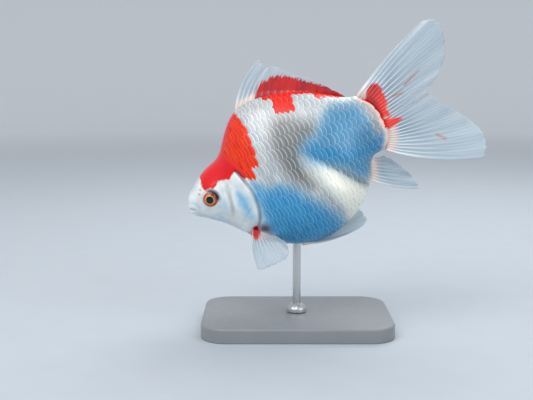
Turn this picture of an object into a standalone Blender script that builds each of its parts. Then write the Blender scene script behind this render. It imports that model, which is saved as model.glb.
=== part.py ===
"""Ryukin goldfish, a life-size still model on a display stand.

The fish is drawn in its own frame: +X runs from the snout to the tail, +Y is the fish's right and +Z its back,
with the snout near the origin. One empty then pitches the whole fish nose down and lifts it over the stand.
The scene's origin is the middle of the stand's underside. Lengths are in metres.
"""

import math

import bmesh
import bpy
import numpy as np
from mathutils import Matrix, Vector
from mathutils.bvhtree import BVHTree

# The pose over the stand.
PITCH_DOWN = math.radians(22.0)
SNOUT_X = -0.060
SNOUT_Z = 0.071
GAP = 0.0003

# The body's lines: the back's and the keel's (x, z), the half width, the level of the widest point from
# keel (0) to back (1), and how sharply the section draws in towards the back and the keel (1 is an ellipse).
STATIONS = (
    ((-0.0008, -0.0040), (-0.0008, -0.0040), 0.0000, 0.50, 1.00, 1.00),
    ((0.0004, 0.0010), (-0.0002, -0.0084), 0.0054, 0.50, 1.00, 1.00),
    ((0.0042, 0.0048), (0.0036, -0.0118), 0.0086, 0.50, 1.00, 1.00),
    ((0.0100, 0.0093), (0.0108, -0.0168), 0.0122, 0.48, 1.00, 1.00),
    ((0.0170, 0.0131), (0.0190, -0.0243), 0.0160, 0.47, 1.00, 1.00),
    ((0.0243, 0.0164), (0.0280, -0.0342), 0.0198, 0.45, 1.00, 1.00),
    ((0.0308, 0.0246), (0.0378, -0.0408), 0.0236, 0.42, 1.05, 0.98),
    ((0.0385, 0.0331), (0.0480, -0.0453), 0.0264, 0.38, 1.10, 0.95),
    ((0.0480, 0.0374), (0.0585, -0.0473), 0.0280, 0.36, 1.14, 0.92),
    ((0.0600, 0.0373), (0.0700, -0.0463), 0.0278, 0.35, 1.16, 0.90),
    ((0.0730, 0.0344), (0.0812, -0.0418), 0.0254, 0.36, 1.14, 0.90),
    ((0.0850, 0.0297), (0.0905, -0.0358), 0.0212, 0.39, 1.10, 0.92),
    ((0.0945, 0.0241), (0.0970, -0.0275), 0.0162, 0.45, 1.05, 0.96),
    ((0.1015, 0.0200), (0.1012, -0.0178), 0.0116, 0.50, 1.00, 1.00),
    ((0.1072, 0.0184), (0.1066, -0.0147), 0.0084, 0.50, 1.00, 1.00),
    ((0.1126, 0.0135), (0.1122, -0.0142), 0.0060, 0.50, 1.00, 1.00),
    ((0.1160, 0.0050), (0.1160, -0.0095), 0.0036, 0.50, 1.00, 1.00),
    ((0.1172, -0.0025), (0.1172, -0.0025), 0.0000, 0.50, 1.00, 1.00),
)
RINGS_PER_STATION = 2
RING_POINTS = 30

# The crease where the round belly meets the tail's muscle, as a line on the flank.
CREASE_TOP = (0.0640, 0.0090)
CREASE_FOOT = (0.0940, -0.0290)
CREASE_DEPTH = 0.0028
CREASE_WIDTH = 0.0040
BELLY_BULGE = 0.0030
BELLY_BULGE_WIDTH = 0.0090

# Where the body is parted: a point (x, z) and the direction (x, z) that points into the rearward or upper piece.
HEAD_CUT = ((0.0290, -0.0100), (0.997, -0.075))
STALK_CUT = ((0.0905, -0.0020), (0.975, 0.222))
BELLY_CUT = ((0.0600, -0.0150), (0.10, 0.995))

# The head.
EYE_PLACE = (0.0136, -0.0027)
EYE_RADIUS = 0.0054
EYE_SINK = 0.0037
OPERCLE_FRONT = ((0.0238, 0.0015), (0.0232, -0.0060), (0.0223, -0.0130), (0.0212, -0.0205))
OPERCLE_REAR = ((0.0306, 0.0064), (0.0347, -0.0045), (0.0354, -0.0140), (0.0312, -0.0242))
OPERCLE_LIFT = 0.0006
OPERCLE_DEPTH = 0.0022
JAW_OUTLINE = ((-0.0060, -0.0020), (0.0045, -0.0082), (0.0085, -0.0120), (0.0085, -0.0220), (-0.0060, -0.0220))

# Fins: thickness on a ray and on the web between two rays.
RAY_THICKNESS = 0.0011
WEB_THICKNESS = 0.0006
WEB_RECESS = 0.012
FIN_ROWS = 4

# The stand.
BASE_LENGTH = 0.104
BASE_WIDTH = 0.072
BASE_HEIGHT = 0.008
BASE_CORNER = 0.014
BASE_EDGE = 0.0012
ROD_RADIUS = 0.0022
ROD_TOP = 0.070
ROD_SOCKET = 0.005
COLLAR_RADIUS = 0.0055
COLLAR_HEIGHT = 0.0045


# ---------------------------------------------------------------- scene, materials and small tools


def clear_scene():
    for obj in list(bpy.data.objects):
        bpy.data.objects.remove(obj, do_unlink=True)


def finish(name, colour, roughness, metallic=0.0):
    material = bpy.data.materials.new(name)
    material.use_nodes = True
    shader = material.node_tree.nodes["Principled BSDF"]
    shader.inputs["Base Color"].default_value = (*colour, 1.0)
    shader.inputs["Roughness"].default_value = roughness
    shader.inputs["Metallic"].default_value = metallic
    return material


def pose_empty():
    """The empty that carries the whole fish."""
    empty = bpy.data.objects.new("fish_pose", None)
    bpy.context.scene.collection.objects.link(empty)
    empty.location = (SNOUT_X, 0.0, SNOUT_Z)
    empty.rotation_euler = (0.0, -PITCH_DOWN, 0.0)
    return empty


def add_object(name, form, material=None, parent=None):
    """Links a mesh made from a bmesh, with its faces turned outwards."""
    bmesh.ops.recalc_face_normals(form, faces=form.faces)
    mesh = bpy.data.meshes.new(name)
    form.to_mesh(mesh)
    form.free()
    obj = bpy.data.objects.new(name, mesh)
    bpy.context.scene.collection.objects.link(obj)
    if material:
        mesh.materials.append(material)
    mesh.shade_smooth()
    mesh.set_sharp_from_angle(angle=math.radians(40))
    obj.parent = parent
    return obj


def make_cutter(name, form, parent=None):
    obj = add_object(name, form, parent=parent)
    obj.hide_render = True
    obj.display_type = "WIRE"
    return obj


def cut(obj, cutter, operation="DIFFERENCE"):
    modifier = obj.modifiers.new(cutter.name, "BOOLEAN")
    modifier.operation = operation
    modifier.object = cutter


def natural_spline(knots):
    """A curve through knots that stand at whole numbers, as a function of the place along it."""
    knots = np.array(knots, float)
    count = len(knots)
    system = np.eye(count)
    bend = np.zeros_like(knots)
    for i in range(1, count - 1):
        system[i, i - 1 : i + 2] = (1.0, 4.0, 1.0)
        bend[i] = 6.0 * (knots[i - 1] - 2.0 * knots[i] + knots[i + 1])
    bend = np.linalg.solve(system, bend)

    def at(place):
        i = int(min(max(place, 0), count - 2))
        t = place - i
        near = (1 - t) * knots[i] + ((1 - t) ** 3 - (1 - t)) * bend[i] / 6
        far = t * knots[i + 1] + (t**3 - t) * bend[i + 1] / 6
        return near + far

    return at


def along(points, share):
    """The point at a share (0 to 1) of a smooth curve through the points."""
    return natural_spline(points)(share * (len(points) - 1))


# ---------------------------------------------------------------- the body


def flank_relief(x, z):
    """How far the flank stands out beyond the plain sections, for the belly's bulge and the crease over it."""
    run = np.subtract(CREASE_FOOT, CREASE_TOP)
    length = np.hypot(*run)
    run = run / length
    offset = np.subtract((x, z), CREASE_TOP)
    down = float(offset @ run) / length
    across = float(offset @ np.array((-run[1], run[0])))
    grown = min(max(down, 0.0), 1.0)
    grown = grown * grown * (3 - 2 * grown)
    groove = CREASE_DEPTH * math.exp(-((across / CREASE_WIDTH) ** 2))
    bulge = BELLY_BULGE * math.exp(-(((across + BELLY_BULGE_WIDTH) / BELLY_BULGE_WIDTH) ** 2))
    return grown * (bulge - groove)


def body_ring(lines, place, swell):
    """One ring of the body, which lies in the plane through its points on the back and the keel."""
    back_x, back_z, keel_x, keel_z, half_width, level, top_power, keel_power = lines(place)
    back = Vector((back_x, 0.0, back_z))
    keel = Vector((keel_x, 0.0, keel_z))
    points = []
    for i in range(RING_POINTS):
        angle = math.tau * i / RING_POINTS
        up = math.cos(angle)
        side = math.sin(angle)
        height = level + up * ((1.0 - level) if up > 0 else level)
        power = top_power if up > 0 else keel_power
        point = keel.lerp(back, height)
        reach = abs(side) ** power
        out = half_width * reach + flank_relief(point.x, point.z) * reach * min(half_width / 0.01, 1.0)
        point.y = math.copysign(out, side)
        points.append(point)
    if swell:
        middle = keel.lerp(back, 0.5)
        points = [p + (p - middle).normalized() * swell for p in points]
    return points


def body_form(swell=0.0):
    """The whole body as one closed bmesh, or a slightly larger copy of it to cut what grows from it."""
    rows = [(*back, *keel, *rest) for back, keel, *rest in STATIONS]
    lines = natural_spline(rows)
    form = bmesh.new()
    last = len(STATIONS) - 1
    snout = form.verts.new(Vector((STATIONS[0][0][0] - swell, 0.0, STATIONS[0][0][1])))
    end = form.verts.new(Vector((STATIONS[-1][0][0] + swell, 0.0, STATIONS[-1][0][1])))
    first_ring = 0.4
    steps = RINGS_PER_STATION * last
    places = [first_ring] + [i / RINGS_PER_STATION for i in range(2, steps)] + [last - first_ring]
    rings = [[form.verts.new(p) for p in body_ring(lines, place, swell)] for place in places]
    for i in range(RING_POINTS):
        j = (i + 1) % RING_POINTS
        form.faces.new((snout, rings[0][i], rings[0][j]))
        form.faces.new((end, rings[-1][j], rings[-1][i]))
        for near, far in zip(rings, rings[1:]):
            form.faces.new((near[i], far[i], far[j], near[j]))
    bmesh.ops.recalc_face_normals(form, faces=form.faces)
    return form


def keep_side(form, plane, side):
    """Cuts the form at a plane, keeps the side that the direction points to (1) or the other (-1), and closes it."""
    (x, z), (dx, dz) = plane
    normal = Vector((dx, 0.0, dz)).normalized() * side
    place = Vector((x, 0.0, z)) + normal * (GAP / 2)
    every = form.verts[:] + form.edges[:] + form.faces[:]
    bmesh.ops.bisect_plane(form, geom=every, plane_co=place, plane_no=normal, clear_inner=True)
    rim = [edge for edge in form.edges if edge.is_boundary]
    bmesh.ops.edgeloop_fill(form, edges=rim)
    return form


def body_piece(cuts):
    form = body_form()
    for plane, side in cuts:
        keep_side(form, plane, side)
    return form


class Flank:
    """Finds the body's half width at a place (x, z) in the side view."""

    def __init__(self):
        form = body_form()
        self.tree = BVHTree.FromBMesh(form)
        form.free()

    def half_width(self, x, z):
        hit = self.tree.ray_cast(Vector((x, 1.0, z)), Vector((0.0, -1.0, 0.0)))
        return hit[0].y if hit[0] else 0.0


def grid_plate(outer, inner):
    """A closed plate from two grids of points, whose rims are joined by walls."""
    form = bmesh.new()
    faces = [[[form.verts.new(p) for p in row] for row in grid] for grid in (outer, inner)]
    rows = len(outer)
    columns = len(outer[0])
    for grid in faces:
        for i in range(rows - 1):
            for j in range(columns - 1):
                form.faces.new((grid[i][j], grid[i + 1][j], grid[i + 1][j + 1], grid[i][j + 1]))
    rim = [(0, j) for j in range(columns)]
    rim += [(i, columns - 1) for i in range(1, rows)]
    rim += [(rows - 1, j) for j in range(columns - 2, -1, -1)]
    rim += [(i, 0) for i in range(rows - 2, 0, -1)]
    for (i, j), (k, m) in zip(rim, rim[1:] + rim[:1]):
        form.faces.new((faces[0][i][j], faces[1][i][j], faces[1][k][m], faces[0][k][m]))
    bmesh.ops.recalc_face_normals(form, faces=form.faces)
    return form


def opercle_form(flank, side, grow=0.0, rise=0.0):
    """A gill cover, or with grow and rise the pocket that it lies in."""
    rows = 9
    columns = 6
    outer = []
    inner = []
    for i in range(rows):
        down = i / (rows - 1)
        front = along(OPERCLE_FRONT, down)
        rear = along(OPERCLE_REAR, down)
        level = (0.5 - down) * 2
        outer_row = []
        inner_row = []
        for j in range(columns):
            back = j / (columns - 1)
            x, z = front + (rear - front) * back
            x += grow * (2 * back - 1)
            z += grow * level
            width = flank.half_width(x, z)
            outer_row.append(Vector((x, side * (width + rise + OPERCLE_LIFT * back * back), z)))
            inner_row.append(Vector((x, side * (width - OPERCLE_DEPTH - grow), z)))
        outer.append(outer_row)
        inner.append(inner_row)
    return grid_plate(outer, inner)


def ball(place, radius, squash=1.0):
    form = bmesh.new()
    stretch = Matrix.Diagonal((1.0, squash, 1.0, 1.0))
    turned = Matrix.Rotation(math.radians(90), 4, "X")
    bmesh.ops.create_uvsphere(
        form, u_segments=18, v_segments=10, radius=radius, matrix=Matrix.Translation(place) @ stretch @ turned
    )
    return form


def prism(outline, half_depth, shrink=0.0):
    """A straight-sided block over an outline (x, z), through the whole head."""
    middle = np.mean(outline, axis=0)
    form = bmesh.new()
    corners = []
    for point in outline:
        x, z = np.array(point) + (middle - np.array(point)) * (shrink / np.hypot(*(middle - np.array(point))))
        corners.append((x, z))
    near = [form.verts.new((x, -half_depth, z)) for x, z in corners]
    far = [form.verts.new((x, half_depth, z)) for x, z in corners]
    form.faces.new(near)
    form.faces.new(far)
    for i in range(len(corners)):
        j = (i + 1) % len(corners)
        form.faces.new((near[i], far[i], far[j], near[j]))
    return form


def build_body(pose, white, red, pearl, eye_finish):
    flank = Flank()
    sides = (("left", -1), ("right", 1))
    head = add_object("head", body_piece([(HEAD_CUT, -1)]), red, pose)
    back = add_object("trunk_back", body_piece([(HEAD_CUT, 1), (STALK_CUT, -1), (BELLY_CUT, 1)]), white, pose)
    belly = add_object("trunk_belly", body_piece([(HEAD_CUT, 1), (STALK_CUT, -1), (BELLY_CUT, -1)]), white, pose)
    add_object("tail_stalk", body_piece([(STALK_CUT, 1)]), white, pose)

    jaw = add_object("lower_jaw", body_piece([(HEAD_CUT, -1)]), white, pose)
    cut(jaw, make_cutter("jaw_block", prism(JAW_OUTLINE, 0.02, GAP), pose), "INTERSECT")
    cut(head, make_cutter("jaw_notch", prism(JAW_OUTLINE, 0.02), pose))

    eye_depth = flank.half_width(*EYE_PLACE) - EYE_SINK
    for word, side in sides:
        place = Vector((EYE_PLACE[0], side * eye_depth, EYE_PLACE[1]))
        add_object(f"eye_{word}", ball(place, EYE_RADIUS), eye_finish, pose)
        cut(head, make_cutter(f"eye_socket_{word}", ball(place, EYE_RADIUS + GAP), pose))
        add_object(f"opercle_{word}", opercle_form(flank, side), pearl, pose)
        pocket = make_cutter(f"gill_pocket_{word}", opercle_form(flank, side, GAP, 0.004), pose)
        for piece in (head, back, belly):
            cut(piece, pocket)
    return flank


# ---------------------------------------------------------------- the fins


def fin_form(roots, tips, rays, bow, level, rows=FIN_ROWS):
    """A fin over the side view. roots and tips are (x, z) curves, bow bends each ray forwards by that share of its
    length, first ray and last, and level(share across, share out, x, z) gives the fin's y."""
    columns = 2 * rays - 1
    left = []
    right = []
    for j in range(columns):
        across = j / (columns - 1)
        on_ray = j % 2 == 0
        root = along(roots, across)
        tip = along(tips, across)
        run = tip - root
        if not on_ray:
            run = run * (1.0 - WEB_RECESS)
        forwards = np.array((-run[1], run[0]))
        bend = bow[0] + (bow[1] - bow[0]) * across
        half = (RAY_THICKNESS if on_ray else WEB_THICKNESS) / 2
        left_row = []
        right_row = []
        for i in range(rows + 1):
            out = i / rows
            x, z = root + run * out + forwards * bend * 4 * out * (1 - out)
            y = level(across, out, x, z)
            thick = half + (WEB_THICKNESS / 2 - half) * out * 0.8
            left_row.append(Vector((x, y - thick, z)))
            right_row.append(Vector((x, y + thick, z)))
        left.append(left_row)
        right.append(right_row)
    return grid_plate(left, right)


def add_fin(name, form, body_cutter, material, pose):
    fin = add_object(name, form, material, pose)
    cut(fin, body_cutter)
    return fin


DORSAL_ROOTS = (
    (0.0420, 0.0345), (0.0520, 0.0360), (0.0636, 0.0350), (0.0743, 0.0320), (0.0845, 0.0280), (0.0960, 0.0215)
)
DORSAL_TIPS = (
    (0.0648, 0.0562), (0.0672, 0.0508), (0.0712, 0.0500), (0.0779, 0.0430),
    (0.0848, 0.0378), (0.0926, 0.0300), (0.1010, 0.0203),
)


def dorsal_fin(body_cutter, material, pose):
    def level(across, out, x, z):
        return 0.0010 * out * math.sin(5.0 * across + 0.6)

    form = fin_form(DORSAL_ROOTS, DORSAL_TIPS, 15, (0.10, 0.0), level)
    add_fin("dorsal_fin", form, body_cutter, material, pose)


TAIL_UPPER_ROOTS = ((0.1066, 0.0178), (0.1110, 0.0130), (0.1140, 0.0075), (0.1150, 0.0008))
TAIL_UPPER_TIPS = (
    (0.1530, 0.0425), (0.1600, 0.0400), (0.1608, 0.0300), (0.1570, 0.0195), (0.1500, 0.0125), (0.1422, 0.0064)
)
TAIL_LOWER_ROOTS = ((0.1150, 0.0002), (0.1150, -0.0055), (0.1135, -0.0105), (0.1105, -0.0145))
TAIL_LOWER_TIPS = (
    (0.1422, 0.0056), (0.1470, -0.0005), (0.1530, -0.0085), (0.1592, -0.0174), (0.1626, -0.0280), (0.1585, -0.0380)
)
TAIL_ROOT_X = 0.1060
TAIL_ROOT_OUT = 0.0021
TAIL_SPREAD_LEFT = math.radians(6.0)
TAIL_SPREAD_RIGHT = math.radians(33.0)
TAIL_FAR_SHARE = 0.86
TAIL_CUP = 0.0035


def tail_lobe(upper, side):
    """One lobe of the double tail. The right half turns well out, and so is shorter and lower from the side."""
    roots = TAIL_UPPER_ROOTS if upper else TAIL_LOWER_ROOTS
    tips = TAIL_UPPER_TIPS if upper else TAIL_LOWER_TIPS
    slope = math.tan(TAIL_SPREAD_LEFT if side < 0 else TAIL_SPREAD_RIGHT)
    if side > 0:
        anchor = np.array((TAIL_ROOT_X, 0.0))
        tips = [anchor + (np.array(tip) - anchor) * TAIL_FAR_SHARE for tip in tips]

    def level(across, out, x, z):
        cup = TAIL_CUP * out * out * math.sin(math.pi * (0.25 + 0.6 * across))
        ripple = 0.0006 * out * math.sin(9.0 * across)
        return side * (TAIL_ROOT_OUT + (x - TAIL_ROOT_X) * slope + ripple) + cup

    return fin_form(roots, tips, 9, (0.03, 0.0) if upper else (0.0, -0.06), level, 5)


def tail_fins(body_cutter, material, pose):
    for word, side in (("left", -1), ("right", 1)):
        add_fin(f"tail_fin_upper_{word}", tail_lobe(True, side), body_cutter, material, pose)
        add_fin(f"tail_fin_lower_{word}", tail_lobe(False, side), body_cutter, material, pose)


ANAL_ROOTS = ((0.0960, -0.0262), (0.0985, -0.0215), (0.1005, -0.0165))
ANAL_LEFT_TIPS = ((0.1200, -0.0408), (0.1190, -0.0345), (0.1160, -0.0275), (0.1108, -0.0190))
ANAL_RIGHT_TIPS = ((0.1165, -0.0362), (0.1158, -0.0305), (0.1132, -0.0245), (0.1092, -0.0182))


def anal_fins(body_cutter, material, pose):
    for word, side, tips in (("left", -1, ANAL_LEFT_TIPS), ("right", 1, ANAL_RIGHT_TIPS)):

        def level(across, out, x, z, side=side):
            return side * (0.0012 + 0.0050 * out * out)

        form = fin_form(ANAL_ROOTS, tips, 6, (-0.06, 0.0), level)
        add_fin(f"anal_fin_{word}", form, body_cutter, material, pose)


PECTORAL_ROOTS = ((0.0280, -0.0250), (0.0315, -0.0275), (0.0350, -0.0303))
PECTORAL_LEFT_TIPS = ((0.0234, -0.0456), (0.0262, -0.0470), (0.0325, -0.0468), (0.0390, -0.0463), (0.0420, -0.0432), (0.0423, -0.0380))
PECTORAL_RIGHT_TIPS = ((0.0440, -0.0470), (0.0482, -0.0462), (0.0520, -0.0432), (0.0540, -0.0385), (0.0520, -0.0335))


def pectoral_fins(flank, body_cutter, material, pose):
    root_depth = flank.half_width(*PECTORAL_ROOTS[1]) - 0.0015
    for word, side, tips, flare in (
        ("left", -1, PECTORAL_LEFT_TIPS, 0.0085),
        ("right", 1, PECTORAL_RIGHT_TIPS, 0.0125),
    ):

        def level(across, out, x, z, side=side, flare=flare):
            return side * (root_depth + flare * out - 0.0025 * across)

        form = fin_form(PECTORAL_ROOTS, tips, 10, (-0.05, 0.0), level)
        add_fin(f"pectoral_fin_{word}", form, body_cutter, material, pose)


PELVIC_ROOTS = ((0.0490, -0.0448), (0.0525, -0.0452), (0.0560, -0.0452))
PELVIC_TIPS = ((0.0690, -0.0484), (0.0795, -0.0484), (0.0868, -0.0458), (0.0862, -0.0416))


def pelvic_fins(body_cutter, material, pose):
    for word, side in (("left", -1), ("right", 1)):

        def level(across, out, x, z, side=side):
            return side * (0.0068 + 0.0040 * out - 0.0020 * across)

        form = fin_form(PELVIC_ROOTS, PELVIC_TIPS, 8, (-0.04, 0.0), level, 4)
        add_fin(f"pelvic_fin_{word}", form, body_cutter, material, pose)


def build_fins(flank, pose, material):
    body_cutter = make_cutter("body_cutter", body_form(GAP), pose)
    dorsal_fin(body_cutter, material, pose)
    tail_fins(body_cutter, material, pose)
    anal_fins(body_cutter, material, pose)
    pectoral_fins(flank, body_cutter, material, pose)
    pelvic_fins(body_cutter, material, pose)
    return body_cutter


# ---------------------------------------------------------------- the stand


def cylinder(radius, low, high, segments=20):
    form = bmesh.new()
    bmesh.ops.create_cone(
        form,
        cap_ends=True,
        segments=segments,
        radius1=radius,
        radius2=radius,
        depth=high - low,
        matrix=Matrix.Translation((0.0, 0.0, (low + high) / 2)),
    )
    return form


def base_form():
    """A flat plate with round corners and a broken upper edge."""
    form = bmesh.new()
    outline = []
    per_corner = 6
    for corner in range(4):
        turn = math.radians(90 * corner)
        x = (BASE_LENGTH / 2 - BASE_CORNER) * (1 if corner in (0, 3) else -1)
        y = (BASE_WIDTH / 2 - BASE_CORNER) * (1 if corner in (0, 1) else -1)
        for i in range(per_corner + 1):
            angle = turn + math.radians(90) * i / per_corner
            outline.append((x + BASE_CORNER * math.cos(angle), y + BASE_CORNER * math.sin(angle)))
    floor = form.faces.new([form.verts.new((x, y, 0.0)) for x, y in outline])
    lift = bmesh.ops.extrude_face_region(form, geom=[floor])
    top = [item for item in lift["geom"] if isinstance(item, bmesh.types.BMVert)]
    bmesh.ops.translate(form, verts=top, vec=(0.0, 0.0, BASE_HEIGHT))
    rim = [edge for edge in form.edges if all(v.co.z > BASE_HEIGHT / 2 for v in edge.verts)]
    bmesh.ops.bevel(form, geom=rim, offset=BASE_EDGE, segments=2, profile=0.5, affect="EDGES")
    return form


def collar_form():
    """A turned collar round the rod, with its upper edge sloped off."""
    form = bmesh.new()
    inner = ROD_RADIUS + GAP
    low = BASE_HEIGHT + GAP
    profile = (
        (COLLAR_RADIUS, low),
        (COLLAR_RADIUS, low + COLLAR_HEIGHT * 0.6),
        (inner + 0.0010, low + COLLAR_HEIGHT),
        (inner, low + COLLAR_HEIGHT),
        (inner, low),
    )
    segments = 20
    rings = []
    for i in range(segments):
        angle = math.tau * i / segments
        rings.append([form.verts.new((r * math.cos(angle), r * math.sin(angle), z)) for r, z in profile])
    for near, far in zip(rings, rings[1:] + rings[:1]):
        for i in range(len(profile)):
            j = (i + 1) % len(profile)
            form.faces.new((near[i], far[i], far[j], near[j]))
    return form


def build_stand(body_cutter, lacquer, steel):
    base = add_object("stand_base", base_form(), lacquer)
    cut(base, make_cutter("rod_socket", cylinder(ROD_RADIUS + GAP, BASE_HEIGHT - ROD_SOCKET, BASE_HEIGHT + 0.01)))
    rod = add_object("stand_rod", cylinder(ROD_RADIUS, BASE_HEIGHT - ROD_SOCKET + GAP, ROD_TOP), steel)
    cut(rod, body_cutter)
    add_object("stand_collar", collar_form(), steel)


def build():
    clear_scene()
    pose = pose_empty()
    white = finish("pearly_white_scales", (0.62, 0.67, 0.72), 0.35)
    red = finish("red_head_skin", (0.80, 0.02, 0.02), 0.35)
    pearl = finish("pearly_gill_cover", (0.50, 0.60, 0.68), 0.25)
    eye_finish = finish("eye", (0.10, 0.03, 0.01), 0.08)
    web = finish("fin_web", (0.55, 0.65, 0.72), 0.40)
    lacquer = finish("stand_lacquer", (0.55, 0.55, 0.54), 0.45)
    steel = finish("stand_steel", (0.60, 0.60, 0.60), 0.30, 1.0)
    flank = build_body(pose, white, red, pearl, eye_finish)
    body_cutter = build_fins(flank, pose, web)
    build_stand(body_cutter, lacquer, steel)


build()
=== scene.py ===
import math

import bmesh
import bpy
import numpy as np
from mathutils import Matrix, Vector


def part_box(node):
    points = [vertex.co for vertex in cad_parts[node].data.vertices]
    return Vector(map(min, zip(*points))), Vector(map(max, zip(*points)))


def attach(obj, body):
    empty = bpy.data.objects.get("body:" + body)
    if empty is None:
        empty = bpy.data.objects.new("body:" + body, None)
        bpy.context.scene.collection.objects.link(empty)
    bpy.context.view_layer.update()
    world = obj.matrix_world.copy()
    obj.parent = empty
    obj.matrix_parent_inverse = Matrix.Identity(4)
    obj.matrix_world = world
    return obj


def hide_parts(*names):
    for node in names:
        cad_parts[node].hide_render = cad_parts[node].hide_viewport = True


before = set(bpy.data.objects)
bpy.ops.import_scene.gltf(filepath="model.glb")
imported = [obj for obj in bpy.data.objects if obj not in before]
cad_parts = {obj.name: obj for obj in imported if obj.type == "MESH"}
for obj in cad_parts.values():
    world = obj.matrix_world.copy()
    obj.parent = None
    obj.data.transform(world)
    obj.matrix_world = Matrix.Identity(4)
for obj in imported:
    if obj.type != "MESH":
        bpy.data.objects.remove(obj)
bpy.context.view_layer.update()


# ---------------------------------------------------------------- the skin
# One skin runs over the head, jaw, gill covers, trunk and tail stalk, as it does on the fish. It is thin
# and wet over the plates of the head and lies under the scales behind them. It is lofted on the body's own
# lines and then worked into lips, nostrils, eye rims and gill covers.

# The fish's own frame, in millimetres: x from snout to tail, y to its right, z to its back. The fish is set
# nose down over the stand.
MM_PER_M = 1000
PITCH_DOWN = math.radians(22.0)
COS_DOWN = math.cos(PITCH_DOWN)
SIN_DOWN = math.sin(PITCH_DOWN)
EYE_PLACE = (13.6, -2.7)
eye_low, eye_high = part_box("eye_left")
eye_middle = (eye_low + eye_high) / 2
SNOUT_X = eye_middle.x - (EYE_PLACE[0] * COS_DOWN - EYE_PLACE[1] * SIN_DOWN) / MM_PER_M
SNOUT_Z = eye_middle.z - (EYE_PLACE[0] * SIN_DOWN + EYE_PLACE[1] * COS_DOWN) / MM_PER_M

# The body's lines: the back's x and z, the keel's x and z, the half width, the level of the widest point
# from keel (0) to back (1), and how sharply the section draws in towards the back and the keel (1 is an
# ellipse).
BODY_LINES = np.array((
    (-0.8, -4, -0.8, -4, 0, 0.5, 1, 1),
    (0.4, 1, -0.2, -8.4, 5.4, 0.5, 1, 1),
    (4.2, 4.8, 3.6, -11.8, 8.6, 0.5, 1, 1),
    (10, 9.3, 10.8, -16.8, 12.2, 0.48, 1, 1),
    (17, 13.1, 19, -24.3, 16, 0.47, 1, 1),
    (24.3, 16.4, 28, -34.2, 19.8, 0.45, 1, 1),
    (30.8, 24.6, 37.8, -40.8, 23.6, 0.42, 1.05, 0.98),
    (38.5, 33.1, 48, -45.3, 26.4, 0.38, 1.1, 0.95),
    (48, 37.4, 58.5, -47.3, 28, 0.36, 1.14, 0.92),
    (60, 37.3, 70, -46.3, 27.8, 0.35, 1.16, 0.9),
    (73, 34.4, 81.2, -41.8, 25.4, 0.36, 1.14, 0.9),
    (85, 29.7, 90.5, -35.8, 21.2, 0.39, 1.1, 0.92),
    (94.5, 24.1, 97, -27.5, 16.2, 0.45, 1.05, 0.96),
    (101.5, 20, 101.2, -17.8, 11.6, 0.5, 1, 1),
    (107.2, 18.4, 106.6, -14.7, 8.4, 0.5, 1, 1),
    (112.6, 13.5, 112.2, -14.2, 6, 0.5, 1, 1),
    (116, 5, 116, -9.5, 3.6, 0.5, 1, 1),
    (117.2, -2.5, 117.2, -2.5, 0, 0.5, 1, 1),
))
LAST_LINE = len(BODY_LINES) - 1
BACK_LINE = BODY_LINES[4:9, :2]
JAW_LINE = BODY_LINES[2:6, 2:4]

# The crease where the round belly meets the tail's muscle.
CREASE_TOP = (64, 9)
CREASE_FOOT = (94, -29)
CREASE_DEPTH = 3.6
CREASE_WIDTH = 5.0
BELLY_BULGE = 3.6
BELLY_BULGE_WIDTH = 9.0

# The head's lines, as (x, z) on the side of the head.
MOUTH = ((-1.8, -4), (-0.2, -4.7), (1.6, -5.8), (3.4, -7.4))
CHEEK_EDGE = ((24.8, 2.6), (23.7, -1), (23.3, -6.3), (22.3, -12.4), (20.5, -19.5))
GILL_EDGE = (
    (30.4, 7.4), (32.4, 3.5), (33.8, -1.2), (35.2, -7), (35.4, -14), (33.8, -20.8), (30.5, -25.2),
    (25.5, -27.6), (21.5, -26.8),
)
NOSTRILS = ((8, 1.2), (9.2, 3.3))
AXIL = (34.5, -28)
# Folds of the lip, the throat and the gill cover: a line, its depth and width, and the share of the line
# where it is deepest, with its spread.
FOLDS = (
    (((2.2, -2), (4, -4.2), (4.8, -7.2), (4, -9.8)), 0.34, 0.6, 0.5, 0.45),
    (((4, -11.2), (8, -13.4), (13, -16.2), (18.5, -20.4)), 0.45, 0.8, 0.45, 0.5),
    (((33.6, -14), (31, -16), (28.4, -18), (26.2, -21.5)), 0.30, 0.6, 0.4, 0.45),
)
SCALES_FRONT = (
    (25, 23), (28.2, 15), (31.2, 9.5), (33.6, 5), (35.2, -1.2), (36.4, -7), (36.6, -14), (36, -21),
    (37.8, -26.2), (38.2, -31), (35, -37), (33, -43),
)
STALK_END = ((106.6, 19), (111, 13.6), (114.2, 7.5), (115.2, 0.8), (115, -5.5), (113.2, -11), (110, -15))
# The skin's depth under the body's outer surface where it is bare and where scales cover it, the distance
# between its rings on the head and behind it, and where the head ends.
HEAD_INSET = 0.20
COAT_DEPTH = 0.50
HEAD_SPACING = 0.36
TRUNK_SPACING = 0.85
HEAD_END = 38.5
ROUND_POINTS = 352


def in_the_world(points):
    """Moves points from the fish's own frame into the model's, in metres."""
    x, y, z = np.moveaxis(np.asarray(points, float), -1, 0) / MM_PER_M
    return np.stack([x * COS_DOWN - z * SIN_DOWN + SNOUT_X, y, x * SIN_DOWN + z * COS_DOWN + SNOUT_Z], -1)


def smooth_line(knots):
    """A smooth curve through knots that stand at whole numbers. It gives the points at any places along
    it."""
    knots = np.array(knots, float)
    system = np.eye(len(knots))
    system[1:-1] = 4.0 * system[1:-1] + system[:-2] + system[2:]
    bend = np.zeros_like(knots)
    bend[1:-1] = 6.0 * np.diff(knots, 2, axis=0)
    bend = np.linalg.solve(system, bend)

    def at(places):
        i = np.clip(places.astype(int), 0, len(knots) - 2)
        t = (places - i)[..., None]
        near = (1 - t) * knots[i] + ((1 - t) ** 3 - (1 - t)) * bend[i] / 6
        far = t * knots[i + 1] + (t**3 - t) * bend[i + 1] / 6
        return near + far

    return at


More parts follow.
